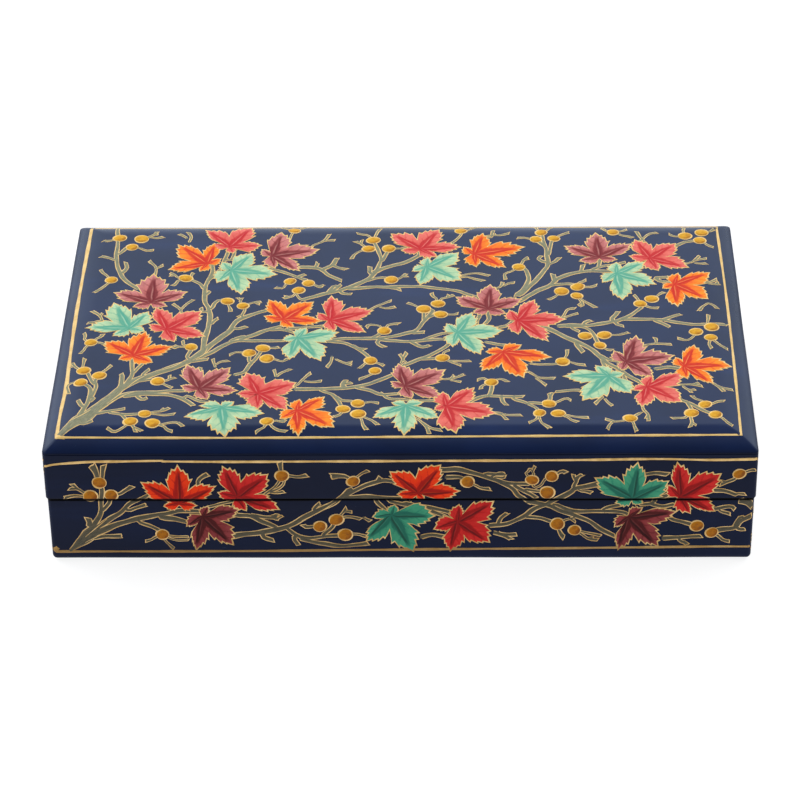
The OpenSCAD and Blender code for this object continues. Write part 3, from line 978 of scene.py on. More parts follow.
# The top, in millimetres from its middle: x to the right, y to the back
topLeaves = readLeaves("""
orange -75,42 -73,56.5 -87,55.5 -89.5,38 -77.5,36.8 -70,45.5
rose -67,54 -77,66.5 -59,69 -54.8,55 -65.5,49.5 -73.5,56
turquoise -65.5,37.5 -58,49.5 -48,34.5 -61,21 -70.5,29 -69.5,43
plum -94.5,15.5 -81.5,22.5 -95,35 -109,22 -101,12.3 -88.5,12.8
turquoise -101.5,-2 -95,9 -108.5,15 -117.5,-1.5 -107,-7 -95.5,-4
rose -87.5,-3 -92.5,12 -75,9.5 -73,-7.5 -84,-11 -94,0.5
orange -98.5,-20 -95,-4.3 -84.5,-14 -91,-24.5 -103.5,-22.5 -109.5,-10.8
orange -44.5,3.5 -50.3,17 -33.5,15.5 -30,2.5 -40.5,-1.5 -51.5,6
rose -27,3 -26.8,19.5 -11,9.5 -13.5,-5 -25,-4 -31.5,8
turquoise -38.5,-8.5 -23.5,-5 -35.5,-2 -44,-10 -41,-22.5 -29.5,-23.5
plum -50.5,47.5 -47.5,64.3 -32.5,52 -39.5,37 -49,39 -54.5,52
plum -73,-41.5 -78.5,-26 -62.5,-28 -59,-42.5 -69.5,-48 -79.5,-39.5
rose -51.5,-44.5 -56.3,-31.3 -38,-37.5 -40.5,-54.5 -51,-54 -59,-44.5
turquoise -64,-53 -77,-58.8 -62,-69.5 -48.8,-56.8 -60,-49.5 -72,-52
orange -37,-55 -27.5,-46.5 -23.5,-65 -36,-69 -42.8,-60 -36.3,-48
rose 6.3,52 -5,63 13.5,66.5 22,53.5 12.8,46.5 -0.8,51
turquoise 9,39.5 21,49.5 22,30 6.5,27 3.5,36.5 9.3,46
orange 27,48.5 30.5,63.3 46.3,53.5 39,39 27.8,39.5 23,53.5
plum 32,10.5 44.8,17 33,27 20,18.5 26.5,7.5 38.5,7.3
turquoise 20.5,-5.5 26,8 37.5,-4 29,-19.5 18.8,-14.5 16.5,0.5
rose 43,2.5 49.5,16.5 60.8,3.5 54,-11 43,-6.3 40,9.5
orange 37.5,-18 54.8,-21.5 44.5,-34.5 29.5,-30 31,-18 44,-13.5
plum 1.5,-40 -1,-25.5 16,-29.5 14.5,-47 4,-47.5 -3.5,-37
rose 16.5,-52.5 26.5,-41 34.5,-57 20,-68 12.3,-54.5 15.3,-43.5
turquoise 2,-52 -9.5,-59.3 1.5,-68.8 13.8,-59.5 8,-50 -3,-50
plum 74.8,46 87.5,55.3 74,63.5 61.8,54 67.3,43.3 81.5,44.3
rose 94,45 89,58.3 104.5,55.5 108.5,38.5 97,36.5 86.5,46.8
turquoise 81,34.5 92,42.5 95.5,27 82.5,16.5 75.5,28.5 81.3,42.3
orange 102.5,27 116.3,35 114.5,17 103,12 98,24.3 104.3,34.5
plum 82,-24.5 86.5,-7.5 99.8,-20.5 91.5,-34 80.3,-30 78,-17.5
orange 103,-27.5 107.5,-13.8 120.3,-26.8 113,-38.5 103.8,-35.3 100.3,-21.8
turquoise 75.5,-33.5 59,-33.8 65.5,-49 83,-44.5 81,-32 71,-27
rose 89,-40.5 102,-31.5 101,-50 86.5,-53 83.8,-42.5 91,-33.5
""")
topBerries = readPairs("""
-110,60.5 -101.5,59.8 -104.8,54 -110.8,30.8 -82.5,32 -65.8,16.2 -114.8,-11.3 -115.8,-29.5 -109.8,-32.8
-116.3,-37 -77.5,-14.5 -88.3,-36.5 -91.5,-56.8 -96.3,-61.5 -88.3,-62.5 -42.5,65.8 -11.8,58.5 -13.5,52.3
-5.8,52.5 -42.8,29.8 -35.8,28.5 -39.3,23.5 -59.8,13 -4.5,30.5 -6.5,-4 -51,-15.3 -56,-18.5 -49.3,-22
-11.3,-23.5 -9.5,-30 -15.3,-50.5 -20.5,-54 -15,-57 -47.5,-61.5 22,65.5 53,64 51,59 57.8,59.5 44,39.3
13.3,14 8,10.3 14.3,6.8 59.8,22.4 15,-21.8 32.8,-37.5 59,-24.4 53.3,-51 49.8,-56.8 56.5,-57 80.8,64
108.5,61 115,63.5 114,57.8 66,25.5 65.5,19.3 93.5,17 89,13.8 114.7,-1.8 108.8,-5 114,-8.8 67.8,-7.5
74.8,-7 73,-13.8 109.3,-51.5 104,-56.8 112.5,-57.8 82,-60
""")
topBranches = readStrokes("""
2.6 6 4.8 3.6 3.2 3 3 2.8 2.4 2 -120.6,-68 -116.5,-62.3 -112.3,-58.2 -108.6,-52.8 -104.8,-47.2 \
-101.8,-41.8 -96.5,-36.3 -90,-31.8 -82,-27 -77,-22.8 -73,-17.5 -69.5,-12 -63.5,-3
2 1.4 -63.5,-3 -62,2.5 -58.5,5.5 -53.5,8.5 -49.5,10.5
1.8 1.2 -115,-58 -113.5,-53.5 -112.3,-48.5 -112,-43.5 -113,-40 -115,-38
1.2 1.1 -111.5,-46 -110.5,-40 -111,-36 -110,-34
1.2 1.1 -111.5,-38 -114,-32
1.5 1.3 -114.5,-52 -116,-48.3
1.2 1.1 -111.5,-49 -110.5,-46.5
1.6 1.2 -100,24.5 -105,30 -108.5,37.5 -110,45 -110.3,51 -110.5,57 -111.5,69
1.2 1.1 -109.3,49 -107,53
1 1 -110.5,45 -113.5,46.5 -116,47.3
1.3 1.2 -107,36 -106.3,43
2 1.2 -73,-17 -73,-11 -72.3,-5 -71.8,4 -72.5,11 -74,15 -74.8,20 -74.8,25 -74,30 -72.8,35 -73,41
1.2 1.1 -74,30 -71.5,35 -69.5,39 -68.5,44 -67.5,50
1 1 -66,45 -65,50
1.1 1 -75.3,25 -77,28 -79.8,30.5
1.1 1 -71.5,11.5 -70.5,15 -69,17
1.2 1.1 -74.5,9 -75.5,11.5
1.2 1.1 -71,1 -69,4.5
1.2 1.1 -74,21 -73,23
1.6 1.4 -103,-44 -101.5,-39 -101.5,-34 -102,-32
1.6 1.1 -99.5,-39 -98,-32 -98.5,-26 -98.5,-22
1 1 -97.5,-31 -94.5,-25
1.2 1.1 -94,-32.5 -92,-29
1.1 1 -95,-36.5 -91,-35.5
1.6 1.2 -79,-24.5 -75,-23.5 -71,-22.5
1.2 1.1 -78.5,-21 -77.8,-17.5
1.8 1.2 -74,-21.5 -69.5,-17.5 -64.5,-12.5 -60.5,-10.5 -53.5,-10.3 -44,-10.5
2 1.3 -59.5,-9.5 -53.5,-5.5 -48.5,-2.5 -44,0
1.3 1.1 -48.5,-3 -44.5,-3 -39,-5.5
1.3 1.1 -42,-2.5 -34,-1.5 -29,-0.5
1.3 1.2 -63,-10 -59,-7.5
1.3 1.2 -61,-2.5 -58,-1
2 1.2 -104.5,-48.5 -99,-44.5 -94.5,-43.5 -87,-43.3 -82,-42.5 -77,-42.5
1.8 1.4 -99,-46 -92,-44.5 -84.5,-45 -79.5,-47 -76.5,-49.5 -74.5,-51.5
1.1 1 -77,-46 -72,-49 -66,-50.5
1.2 1.1 -95,-46 -93,-48 -91.5,-47
1.5 1.1 -109,-56.5 -104.5,-55.2 -99,-53.5
1.1 1 -104,-56 -99,-57 -94.5,-57
1.1 1 -100,-57 -97.5,-60.5
1.4 1.2 -113.5,-63 -110,-61
1.6 2 -37.5,17 -31,20.5 -23.5,23.5 -18,27 -13.5,31 -10.5,36
2 1.4 -10.5,36 -7,39 0,42.5 5.5,47 6,50
1.3 1.1 -11,35.5 -9.5,40 -8.5,45 -9.5,50 -11,55
1.2 1 -8,44 -6.5,49
1.1 1 -16,28.5 -11,31.5 -7,32
1.6 1.2 -20,24.5 -12,25.5 -6,25.5 0,26 6,25.8 13.5,24.5 20,23 24,20.5 28,18.5
1.5 1.3 -12.8,35.5 -12.8,39.5
1.3 1.2 -28,22 -26,26.5
1.3 1.2 -27,23 -23.5,27
1.3 1.2 -23,21.5 -19.5,21
1.3 1.2 -5,25 -1,23.5
1.8 1.2 -39,39.5 -33,39 -30,36.5 -28,33.5 -23.5,30
1.8 1.4 -30.5,38 -27,41 -25.5,45.5
1.3 1.2 -26,40 -22,38
1.3 1.2 -33.5,40 -32.8,42.3
1.2 1.1 -51.5,39 -46,36.5 -41,33 -36.5,30.5
1.2 1.1 -39.5,33 -37.5,34.5
1.6 1.4 -29.5,-10 -23.5,-9.5 -16,-9 -8.5,-8.8 -3.5,-7.8 1,-6 5,-4 7.5,1 9.5,5 11.5,9.5
1.5 1.3 -8.5,-9.5 -4,-10.5 3.5,-11 11,-10 17.5,-9.5
1.1 1 8.5,-9.5 13,-7 17.5,-5.5
1.1 1 8,3 8,7
1.1 1 10,5 12.5,6.5
1.4 1.2 4,-5.5 8,-5
1.4 1.2 3.5,-11.5 7.5,-14.5 10,-13.8
1.4 1.2 -9,-11 -6.5,-14.5
1.4 1.2 -11,-8.5 -8.5,-6.5
1.3 1.1 -29,-10.5 -21,-12 -16,-16 -12,-21
1.2 1.1 -18,-13.5 -13.5,-16
1.8 1.4 -38,-41.5 -31,-41.5 -23.5,-41 -16,-40 -11,-38 -6,-34.5 -1.5,-31.5
1.4 1.2 -16,-40.5 -11.5,-42 -7,-45 -1,-44.5 0.5,-44
1.1 1 -7,-44 -4,-47.5 1,-48 6,-49 12.5,-49
1.2 1.1 -28.5,-42.5 -24.5,-45 -22.5,-49 -21.5,-51.5
1.1 1 -23.5,-46 -21,-48.5 -18,-49
2 1.6 -21,-39 -20,-36
1.3 1.2 -20,-38 -18,-37.5
1.4 1.1 -60.5,-32.5 -57,-30.5 -55.5,-26 -53.5,-22.5 -52,-18.5
1.2 1.1 -55.5,-24 -55.8,-21
1.8 1.3 42.5,19.5 45.5,23.5 47,28 47.5,32.5 46.5,37.5
2 1.3 44,20 48.5,27 51.5,32 53.5,37 55,40.5 55,47 54.5,53 52.5,56.5
1.1 1 54.5,53 53.5,61
1.1 1 55.5,48 56.5,55 57,57
1.3 1.2 53.5,43 51.5,45 52.5,47
1.3 1.2 55.5,41.5 59.5,45.5
2 1.5 44,16 50,22 55,26 58,30.5 62,33.5 68,36 73,36.5 79.5,36
1.3 1.1 55,26 58,27 63.5,27.5
1.2 1.1 72,37.5 75.5,39.5 80,40.5 84.5,42.5
1.2 1.1 74.5,40 75,44
2.2 1.6 57.5,29 57,34
1.3 1.2 67.5,36 68.5,40.5
1.6 1.2 1,-26.5 4.5,-24 10,-20.5 14.5,-16.5 18,-12
1.2 1.1 7.5,-22.5 12,-22
1.5 1.1 25,-49.5 28.5,-47 32,-46 38.5,-46.5 44,-46.5
1.1 1 41,-48 45,-50.5 48.5,-53.5
1.1 1 46,-50.5 51,-50.8
1.3 1.2 32,-45.5 33,-40.5
1.2 1.1 36.5,-48 38,-51.5
2.2 1.4 51,-1 55,-3.5 58.5,-6.5 62,-9.5 68,-14.5 72.5,-20.5 75,-25 78,-28 83,-34 88,-38.5
1.3 1.1 72.5,-20 76,-23 80,-24.5
1.3 1.1 73.5,-24 75,-31 75.5,-33
2 1.6 64.5,-12.5 66.5,-18
1.3 1.2 80.5,-33 82.5,-39
1.8 1.2 58,-1 63,-0.5 70,-0.3 75,1 79.5,2.3 83,3.5 88,3.5 93,3.5 98,2.5 103,1 108,0 113,0 118,0.3 120.5,0.5
1.5 1.2 79.5,2 85,6 89,11
1.2 1.1 61,-1.5 66.5,-1.5 70,-4 71.8,-10.5
1.2 1.1 63,-2.5 65.5,-4.5
1.8 1.4 78,4 80.5,8.3
1.2 1.1 67.5,0.5 70,2.5
1.2 1.1 79.5,0.5 82,-1
1.4 1.2 94,2.5 99,-1.5
1.3 1.2 97,3 100.5,5 103.5,6.5
1.3 1.1 104.5,54 108,56.5 111.5,57.5
1.3 1.1 95.5,31.5 103,32
1.3 1.1 96.5,29.5 100,28.5
1.6 1.4 92.5,-29 101.5,-29
1.4 1.1 100,-48 104.5,-51.5 108,-55 110,-56.5
1.2 1.1 103,-51 104,-54
1.2 1.1 64.5,-42.5 62,-42.5 56,-43.5
1.5 1.3 35.5,-2 41,2
1.3 1.2 31,-11.5 35,-13 38.5,-13.5
1.3 1.2 29,6 27.5,0
1.3 1.2 32,7.5 31,0.5
""")
topTwigs = readStrokes("""
-113.5,34.5 -115.3,37.8
-112.5,27.5 -116.3,22.5
-113,58.8 -116,58.5
-98,61.8 -96,65
-98,61 -93.5,61.2
-101.8,53.5 -99,51.5 -96.5,52
-83,57.5 -83.5,64.5
-84,60.5 -87,63
-94.5,33.5 -94.5,39 -97,44
-94.5,39 -92,41
-85.5,32.5 -88.5,35.5
-85.5,30 -87,27
-80.5,33.5 -80,35.5
-65,12.5 -64.5,9.5
-82.8,6.5 -83,10 -86,14.3
-83,10 -79,17
-112,3.5 -116,9.5
-112,3 -117,1.8
-118,-28 -120.5,-23.5
-116.3,-26.5 -116.3,-22
-109,-30.5 -106,-26.5
-119,-36.5 -121,-38 -120,-43
-117.5,-9 -118,-5
-112.8,-8.5 -111,-6
-116.5,-14.5 -118,-18
-112,-11.5 -110,-12.5
-85,-36 -82.3,-34.3
-85.5,-38.5 -83,-40.5
-80.5,-14.3 -84,-15
-80.5,-13 -80.8,-10.5
-88,-55.5 -83,-53.5
-87.5,-57 -81,-57
-85.5,-63.5 -80,-62 -77.5,-64.3
-84,-64.5 -81,-66.8
-98,-64.5 -101.5,-67 -104,-65.3
-95,-64.5 -94,-67
-95,-64.5 -92,-66.5
-68,-27.5 -69,-22.5
-68,-26 -63.5,-23.5
-73,-31 -73.5,-28
-43.5,63 -44.8,56
-45.5,67.5 -47.5,69
-39.5,68 -38,69.2
-35,55 -31,58 -29,62.5
-31,58 -27,58.5
-44.5,27 -45.5,25 -48,25.5
-40,20.5 -38,17
-41.5,19.5 -44.5,18
-33,27 -30.8,25.8
-14,62 -18,63.5
-11,62 -9.3,67
-15.5,54.5 -18.5,57.5
-17,50.5 -20,45.5
-3.3,52.5 -0.5,52.5
-1.5,31.5 1,34.5
-61,16 -60.5,18
-57.5,14.5 -53.5,15.5
-59,10.5 -59.8,6.5
-11.5,10.5 -8.5,13.5 -4.5,16
-8.5,12 -3,11.8
-8.5,-0.5 -12,0 -13,-1.5
-5.5,-0.5 -1.5,0.5
-58.5,-18 -61,-18 -62.8,-19.5
-46.3,-22.5 -43.5,-23.8 -41.8,-22
-48,-15 -45.5,-14.8
-45.3,-33.5 -46.3,-29.5
-45.3,-33.5 -40.5,-29
-38,-39.5 -35.5,-35 -33,-31.5
-35,-36.5 -29,-36.3
-12.5,-50 -8,-50.3
-14,-60 -13,-64 -12,-66
-12,-59.5 -8,-63.3
-21,-56.5 -23.5,-58.5
-48.5,-65 -51,-67.5
-45,-65 -40.5,-67
-44,-61 -41,-61.5
-13.5,-25.5 -15,-28
-9,-25 -6.5,-26.5
-11,-32.5 -15,-35.3
-25.5,-21 -27,-27.5
-24,-22.5 -18.5,-26
22,62.5 20.5,59 18,56
19.5,67.5 14.5,68.5
25,66 28,69.2
33.5,60.5 34.5,65.5
34,62 40.5,63.3
48.5,59.5 44,60
51.5,67 51,69.2
55.5,66 57,69
60,61.5 63.5,63.8
45.5,42.5 47.5,46
41.5,36.5 38.5,34.5 38.8,31
22.5,33.5 28,35 32.5,33.5
24,32.5 30,29.8
36,25 37.5,28.5
38,26 42,28.5
12.5,17.5 11,21
14.5,17.5 19,19.8
5.5,12 2,14.5
17.5,6.8 20.5,7.5
58,19.5 55,17
0,-25 -0.5,-19.5
0.5,-23 1.8,-18.5
15,-35.5 19.5,-34.5 22.5,-32.5
18,-36 21.5,-37
17.5,-23.5 25,-23.8
18.5,-24.5 21.5,-26.5
15.5,-18.5 17.5,-17
30,-35 28,-36
35.5,-35.5 38.5,-37
29.5,-39.5 29,-41.5
53.5,-48 53.3,-44.8
54,-48 54.8,-44.5
56,-50 59.5,-47.8 61,-48.8
49.8,-60 50.5,-63 53,-65.5
48.5,-60.5 46,-62.5
59,-58 61.5,-59 66.8,-59.5
60,-59.5 63,-62.3
35,-56.5 43,-58
36,-57.5 38,-60.5
6,-60 9,-64.5 10.5,-68
8,-62.5 14.5,-66.5
46,-30.5 50,-34.5 55.5,-35
49,-35 52.5,-39
47,-25.5 51,-26.3 56,-25.8
60.3,-21 60.7,-17
62,-24.5 66.8,-26.5
78,65 76.5,67.5
84,64.5 86,66
84,61.5 88,60
92.5,57 91,60.5 90,64
92.5,59.5 95,62.5 97.5,63.3
105.5,60.5 102.5,62
108,64.5 108.3,67.5
118,64.5 120,66.8
116,55.5 118.5,53.5
108,41.5 110.5,43 113,46.5
110.5,43 115.5,45
111,42 115.3,41.3
113,28 116,28.5 118.5,30.8
115.5,27.5 119.3,28
114.5,14 111,9.5
114.5,14 117.5,11
96,19.5 98,21.5
92,11.5 95.5,11
88.5,16.5 87,19.5
66.5,28.5 69,30
69,25.5 73,26.5
66.5,16.5 67.3,12.5
68,16 72,11.5
60,5.5 62,10 64.5,11
61,5 65.3,7.5
113.5,1.5 114,6
77.5,-7 80.5,-6.8 83.5,-5.5
75,-16 77,-17
90,-13.5 93,-12.5 99,-13.3
93.5,-12 93.5,-9
107.5,-8 105,-10.5 102,-9.5
113.5,-11 113.8,-15.5
115.5,-11.5 119.5,-15.5
100.5,-39 104.5,-39 108.5,-40
105,-39 107.5,-38
102,-40 104,-42.5 106,-42.3
113.5,-39 116.5,-43
114.5,-40 119.5,-41.5
108,-49 105,-46.5
112,-51 116,-49.5
101.5,-59.5 97,-60
103.5,-60 103.3,-65
115,-60 118,-64
72.5,-46.5 70,-51
73.5,-48 75.8,-52
87,-54.5 88.5,-61.5
86.5,-56 84.5,-58
79.5,-61.5 76.5,-62 73.5,-60.5
75.5,-62.5 73.8,-66
83,-63 83.8,-67
""")
topForks = readPaths("""
-111,-54.2 -114.6,-58.1 -118.5,-61.2
-99.9,-41.5 -101.9,-45.4 -105.5,-50.5
-92.4,-32.4 -96.3,-36.3 -99.6,-41.5
-78.8,-22.6 -83,-27 -89,-30.2
-71.5,-15 -72.6,-19.5 -76.5,-23.2
-95.5,-42.6 -101,-46.4 -107.5,-55
""")
topFrame = [(1.6, readPairs("-121.8,69.4 -122.1,40 -122.3,10 -121.9,-20 -121.5,-38 -122,-55 -122,-69.4")),
            (1.0, readPairs("-122.2,-69.5 -60,-69.8 0,-69.5 60,-69.2 121.2,-68.8")),
            (1.1, readPairs("120.9,-69 121.3,-40 121.7,0 121.6,35 121.2,69.5")),
            (1.0, readPairs("121.4,69.3 60,69.6 0,69.5 -60,69.5 -122.2,69.4")),
            (1.9, readPairs("-122,-66.5 -121.8,-68 -121.5,-69.6")),
            (1.5, readPairs("-121.8,-69.4 -119,-69.6"))]

# The front, in millimetres: x to the right, height above the table
frontLeaves = readLeaves("""
orange -79.3,26.3 -65.8,34.3 -79,43.5 -92.3,36 -84.8,25 -73,25.3
rose -58.5,29.5 -63,43 -47,39.5 -43.5,23.5 -55.3,23 -65,31.5
plum -71,20.5 -57.8,23.5 -60.5,7.5 -74,5.2 -77,16 -69,25
orange 6.2,31 -3.5,40.5 14.5,43.5 21.3,32 8.5,28.3 -1,30.5
turquoise -3.2,21 12.3,20.5 4.5,4.5 -12.5,9 -10,20 -2,25.5
rose 20.5,18 33.3,27 32,8.5 17.8,4.5 12,14.5 21,25.5
turquoise 82.8,28.5 95.5,36.3 84.3,44.5 69.3,37.8 77,26.3 86.5,26
rose 99.8,29.5 98.3,44.5 114,39.5 112.5,22.5 103.8,21.5 95.3,34.5
plum 82,20 98.8,22.3 92.8,6.5 78.3,5 76.8,15.5 86.5,24
""")
frontBerries = readPairs("""
-107.3,35.8 -110.8,29.8 -103.3,30.3 -86,12.2 -42,38.8 -16.8,36.3 -29,15.8 -23,18.8 -20,12 24,36 47,36.8
54,38.5 52.5,31.3 56.3,16.8 62.5,14 120.5,39.3 106.3,15.8 111.8,12.8
""")
frontBranches = readStrokes("""
1 3.6 5.2 4.6 -119.5,5 -115,9.5 -111,13.5 -109,15.2
2 1.2 -110.5,14.5 -105.5,18.5 -100.5,22 -97,26 -93,28.5 -90,30.3
1.2 1.1 -97.5,23 -95,24 -91.5,25.5
1.8 1.3 -111,15.5 -108.5,20 -107.5,23 -107,28 -106.5,32.5
1.2 1.1 -107,23 -104.5,26.5 -104,28
2 1.6 -112,16 -112.5,19.5
2.4 1.4 -109.5,13 -104.5,15.5 -99,18 -92,20 -84.5,21.5 -79.5,23 -75,23 -71.5,22.5
2 1.6 -85.5,20 -80.5,19 -76,17.5
1.2 1.1 -94,18 -90,16 -87.5,14.5
1.6 1.3 -111.5,10.5 -106,11.5 -101,11.5
2.2 1.6 -61.5,11.3 -51,13 -45,14.5 -40,16 -35,19.5 -30,23 -25,25.5 -22,28 -20,30 -18,33
1.6 1.3 -20,29.5 -16,32.5 -11,35 -6,36.5 -1.5,36
1.8 1.4 -19.5,29 -11,29.3 -3.5,28.8 2,28.5
1.8 1.5 -59,21 -53.5,20.5 -49.5,18 -45,15.5
1.3 1.2 -53.5,21 -49,20 -44.5,20
1.3 1.2 -31,23.5 -29,26
1.3 1.2 -8.5,35.5 -7,38
1.5 1.3 -49.5,11 -46,9.5
1.4 1.1 -41,15 -38,12 -33.5,10.5 -28,11.3 -23,11.5
1.6 1.3 -38.5,10.5 -37,7.5
1.6 1.2 -35.5,10 -28.5,8 -21,7 -12,8
1.3 1.2 -24.5,15.5 -27.5,12.5
1.3 1.2 -8.5,27 -4,21.5
1.3 1.2 -4,27 2,25.5
1.3 1.2 2.5,26 9.5,24.5 17.5,22
1.3 1.2 10.5,23 18,19
1.6 1.4 7.5,11 15,11
2 1.2 15.5,41.5 20.5,41.5 26,39.8 32,37.8 38,35.5 45.5,35
1.6 1.3 35,36.5 40,33 42,30 44.5,28
1.3 1.2 41,34 46,31 48.5,29
1.3 1.2 30.5,39.5 37,39.5
1.3 1.2 16.5,38 21,38
1.4 2 32,16 38,17 44,20 48,23.5 52.5,26 57,29 61,31.5 62.5,33 70,35
1.3 1.2 35,17 38,21.5
1.2 1.1 45,20 50.5,19.5 53.5,18
1.3 1.2 62,34 62.8,38.5
1.8 1.4 46,27 53,25 58,22.5 62,21 67.5,18 72.5,14 77,11.5
1.4 1.2 55.5,25.5 60.5,23 65,22.5 75,22.5 80,22
1.3 1.2 73,23.5 80,26
1.3 1.2 33,13 41.5,12
1.3 1.2 35,12.5 39.5,10
1.3 1.2 45,27.5 47,26
1.3 1.2 87.5,39.3 95,39.3
1.3 1.2 86,25.5 90,26 91,28
1.3 1.2 90,25.5 98,25.5
1.6 1.3 91,28.5 98,30
1.6 1.1 94.5,10.2 101,10.6 108,11.3
1.3 1.2 100.5,9 103,7.5
1.6 1.3 97,19 103,17
2 1.5 114,14 120,15 122,18 125.5,20.5
1.3 1.2 120,16 122,20
1.3 1.2 121,14.5 123.5,14.3
1.5 1.3 108,32.5 115,32 120,30
1.3 1.2 122,28 125.5,26.3
2 1.6 121,27 125.5,24.3
1.3 1.2 113,23.5 118,24.5 119.5,23.5
""")
frontTwigs = readStrokes("""
1 2.6 -107.5,37.5 -108.2,40.5 -109.3,43.2
0.8 1.6 -106,38 -105.7,41 -105.2,43.3
-113,31.5 -115,33 -117,35
0.5 0.9 -115,33 -116.5,33.2 -118,33.2
-113.5,29.8 -116.5,30 -120,29
0.9 1.5 -100,31 -98,32.5 -95.8,34.2
0.8 1.6 -72,36 -70.5,38 -68.5,39.3
-88.8,10.8 -90,9.8 -92,9.2
-85,9.3 -83.8,8 -82.2,6
0.4 0.4 -83.5,11.5 -80,11.1 -76.8,11.2
0.4 0.4 -83,10.3 -80,9.6 -76.8,9.7
0.7 0.8 -69.5,24.5 -65.8,25.5 -59.8,27.3
1 1.6 -42.3,41.3 -42.4,43 -42.5,44.6
0.8 1.2 -39.5,38.8 -36.5,38.3 -33.2,38.8
0.5 0.6 -43,36.3 -44.8,33.8 -48.5,30.5
0.5 0.6 -41.3,35.8 -43,33.5 -46.5,31.5
-46,31.6 -44,31.3 -41.7,31.8
0.8 2 -19.3,38.5 -21.8,38.8 -24.2,38.5
-15,38.5 -13.3,40 -11.4,41
0.8 1.2 -32,15.7 -33.8,15.4 -35,16.3
-21.5,20.8 -20,22.8 -19.3,23.8
0.5 0.9 -20,22.5 -18.8,22.5 -17.6,22.2
-20.8,20 -18,20.2 -14.5,19
-17,12.3 -15,12.2 -12.8,11.5
-13.2,19.6 -11,18.3
27,34.5 29,33.2 31.8,32.8
0.9 1.2 33,38.5 35.5,39.8 37.5,39.5
0.5 0.7 34,38 36.3,37.8 37.3,38.3
0.6 1 -46.5,20.6 -45,20.8 -44.3,21.3
0.6 1 -46,20 -44.8,19.3 -43.8,19.2
0.4 0.4 44.8,39.6 46.2,41.7
0.4 0.4 47.6,39.8 46.4,41.6
0.5 1.2 56.3,39.7 57.5,40.6 58.8,40.1
0.5 0.5 51.5,37 50.3,34.6 48,33.5
0.6 1 50,31.7 47.3,32.2 44.8,32.7
62.5,36.3 61.7,38.2 61.6,39
0.5 0.9 62.8,36.5 63.5,38.3 64.5,39
64,32 66,31.8 68,31.2
59,18.5 60.3,19 61.8,19.4
0.6 1.4 57,13.8 57.8,12 58.7,10.8
65.3,13.3 68,12.6 71.8,11.5
65,12.3 67.5,10.2 70.8,9.5
123.3,40.5 124.8,41.1 126,41
0.8 1 118.8,36.9 116.5,36 114,34.9
119.5,30.6 121,30.4 122.8,30.3
0.7 0.9 114.5,22.3 116,21.8 117.8,21.2
0.7 1.1 114.3,11.3 116,9.6 118.2,8.9
""")
frontForks = readPaths("""
-105.5,19.3 -109.3,15.6 -114,11
-104,14.3 -109,11.6 -114,8.6
-23,26.8 -29,22.3 -35.5,18.4
""")
frontLines = [(1.15, readPairs("-126.6,42.9 -122,44 -110,45 -100,45.2 -83.9,45.5")),
              (1.15, readPairs("-84.5,45.2 -60,45 0,45.2 60,45.6 90,46 110,45.5 126.6,45.8")),
              (2.5, readPairs("-125.6,6.2 -125,5.4 -124.2,4.8")),
              (1.2, readPairs("-125,4.4 -60,4.6 30,5.5 60,5.8 110,6.4 126.2,6.4"))]


holding = {
    "branchReach": 2.6, "twigReach": 3.6, "tipReach": 1.1, "inside": -0.4,  # gaps that are bridged, mm
    "nearer": 0.3, "into": 1.2, "bow": 0.14,
    "berry": 2.6, "branch": 0.4, "leaf": (0.22, 0.3), "armShares": (0.1, 0.35, 0.6, 0.85),  # carriers
}


# Lengthens a stroke back to what carries it: the nearest berry, branch or leaf (place, reach). A stroke of
# two points also gets a slight bend.
def anchored(points, carriers, rng, reach):
    p = np.asarray(points, float)
    for end, limit in ((0, reach), (-1, holding["tipReach"])):
        gap = np.hypot(*(carriers[:, :2] - p[end]).T)
        clear = gap - carriers[:, 2]
        k = int(np.argmin(clear + holding["nearer"] * gap))
        if holding["inside"] < clear[k] < limit:
            depth = max(carriers[k, 2] - holding["into"], 0)
            into = carriers[k, :2] + (p[end] - carriers[k, :2]) / gap[k] * depth
            p = np.vstack([into, p]) if end == 0 else np.vstack([p, into])
    if len(points) == 2:
        step = p[-1] - p[-2]
        bow = rng.uniform(-holding["bow"], holding["bow"]) * np.array([-step[1], step[0]])
        p = np.vstack([p[:-1], (p[-1] + p[-2]) / 2 + bow, p[-1:]])
    return p


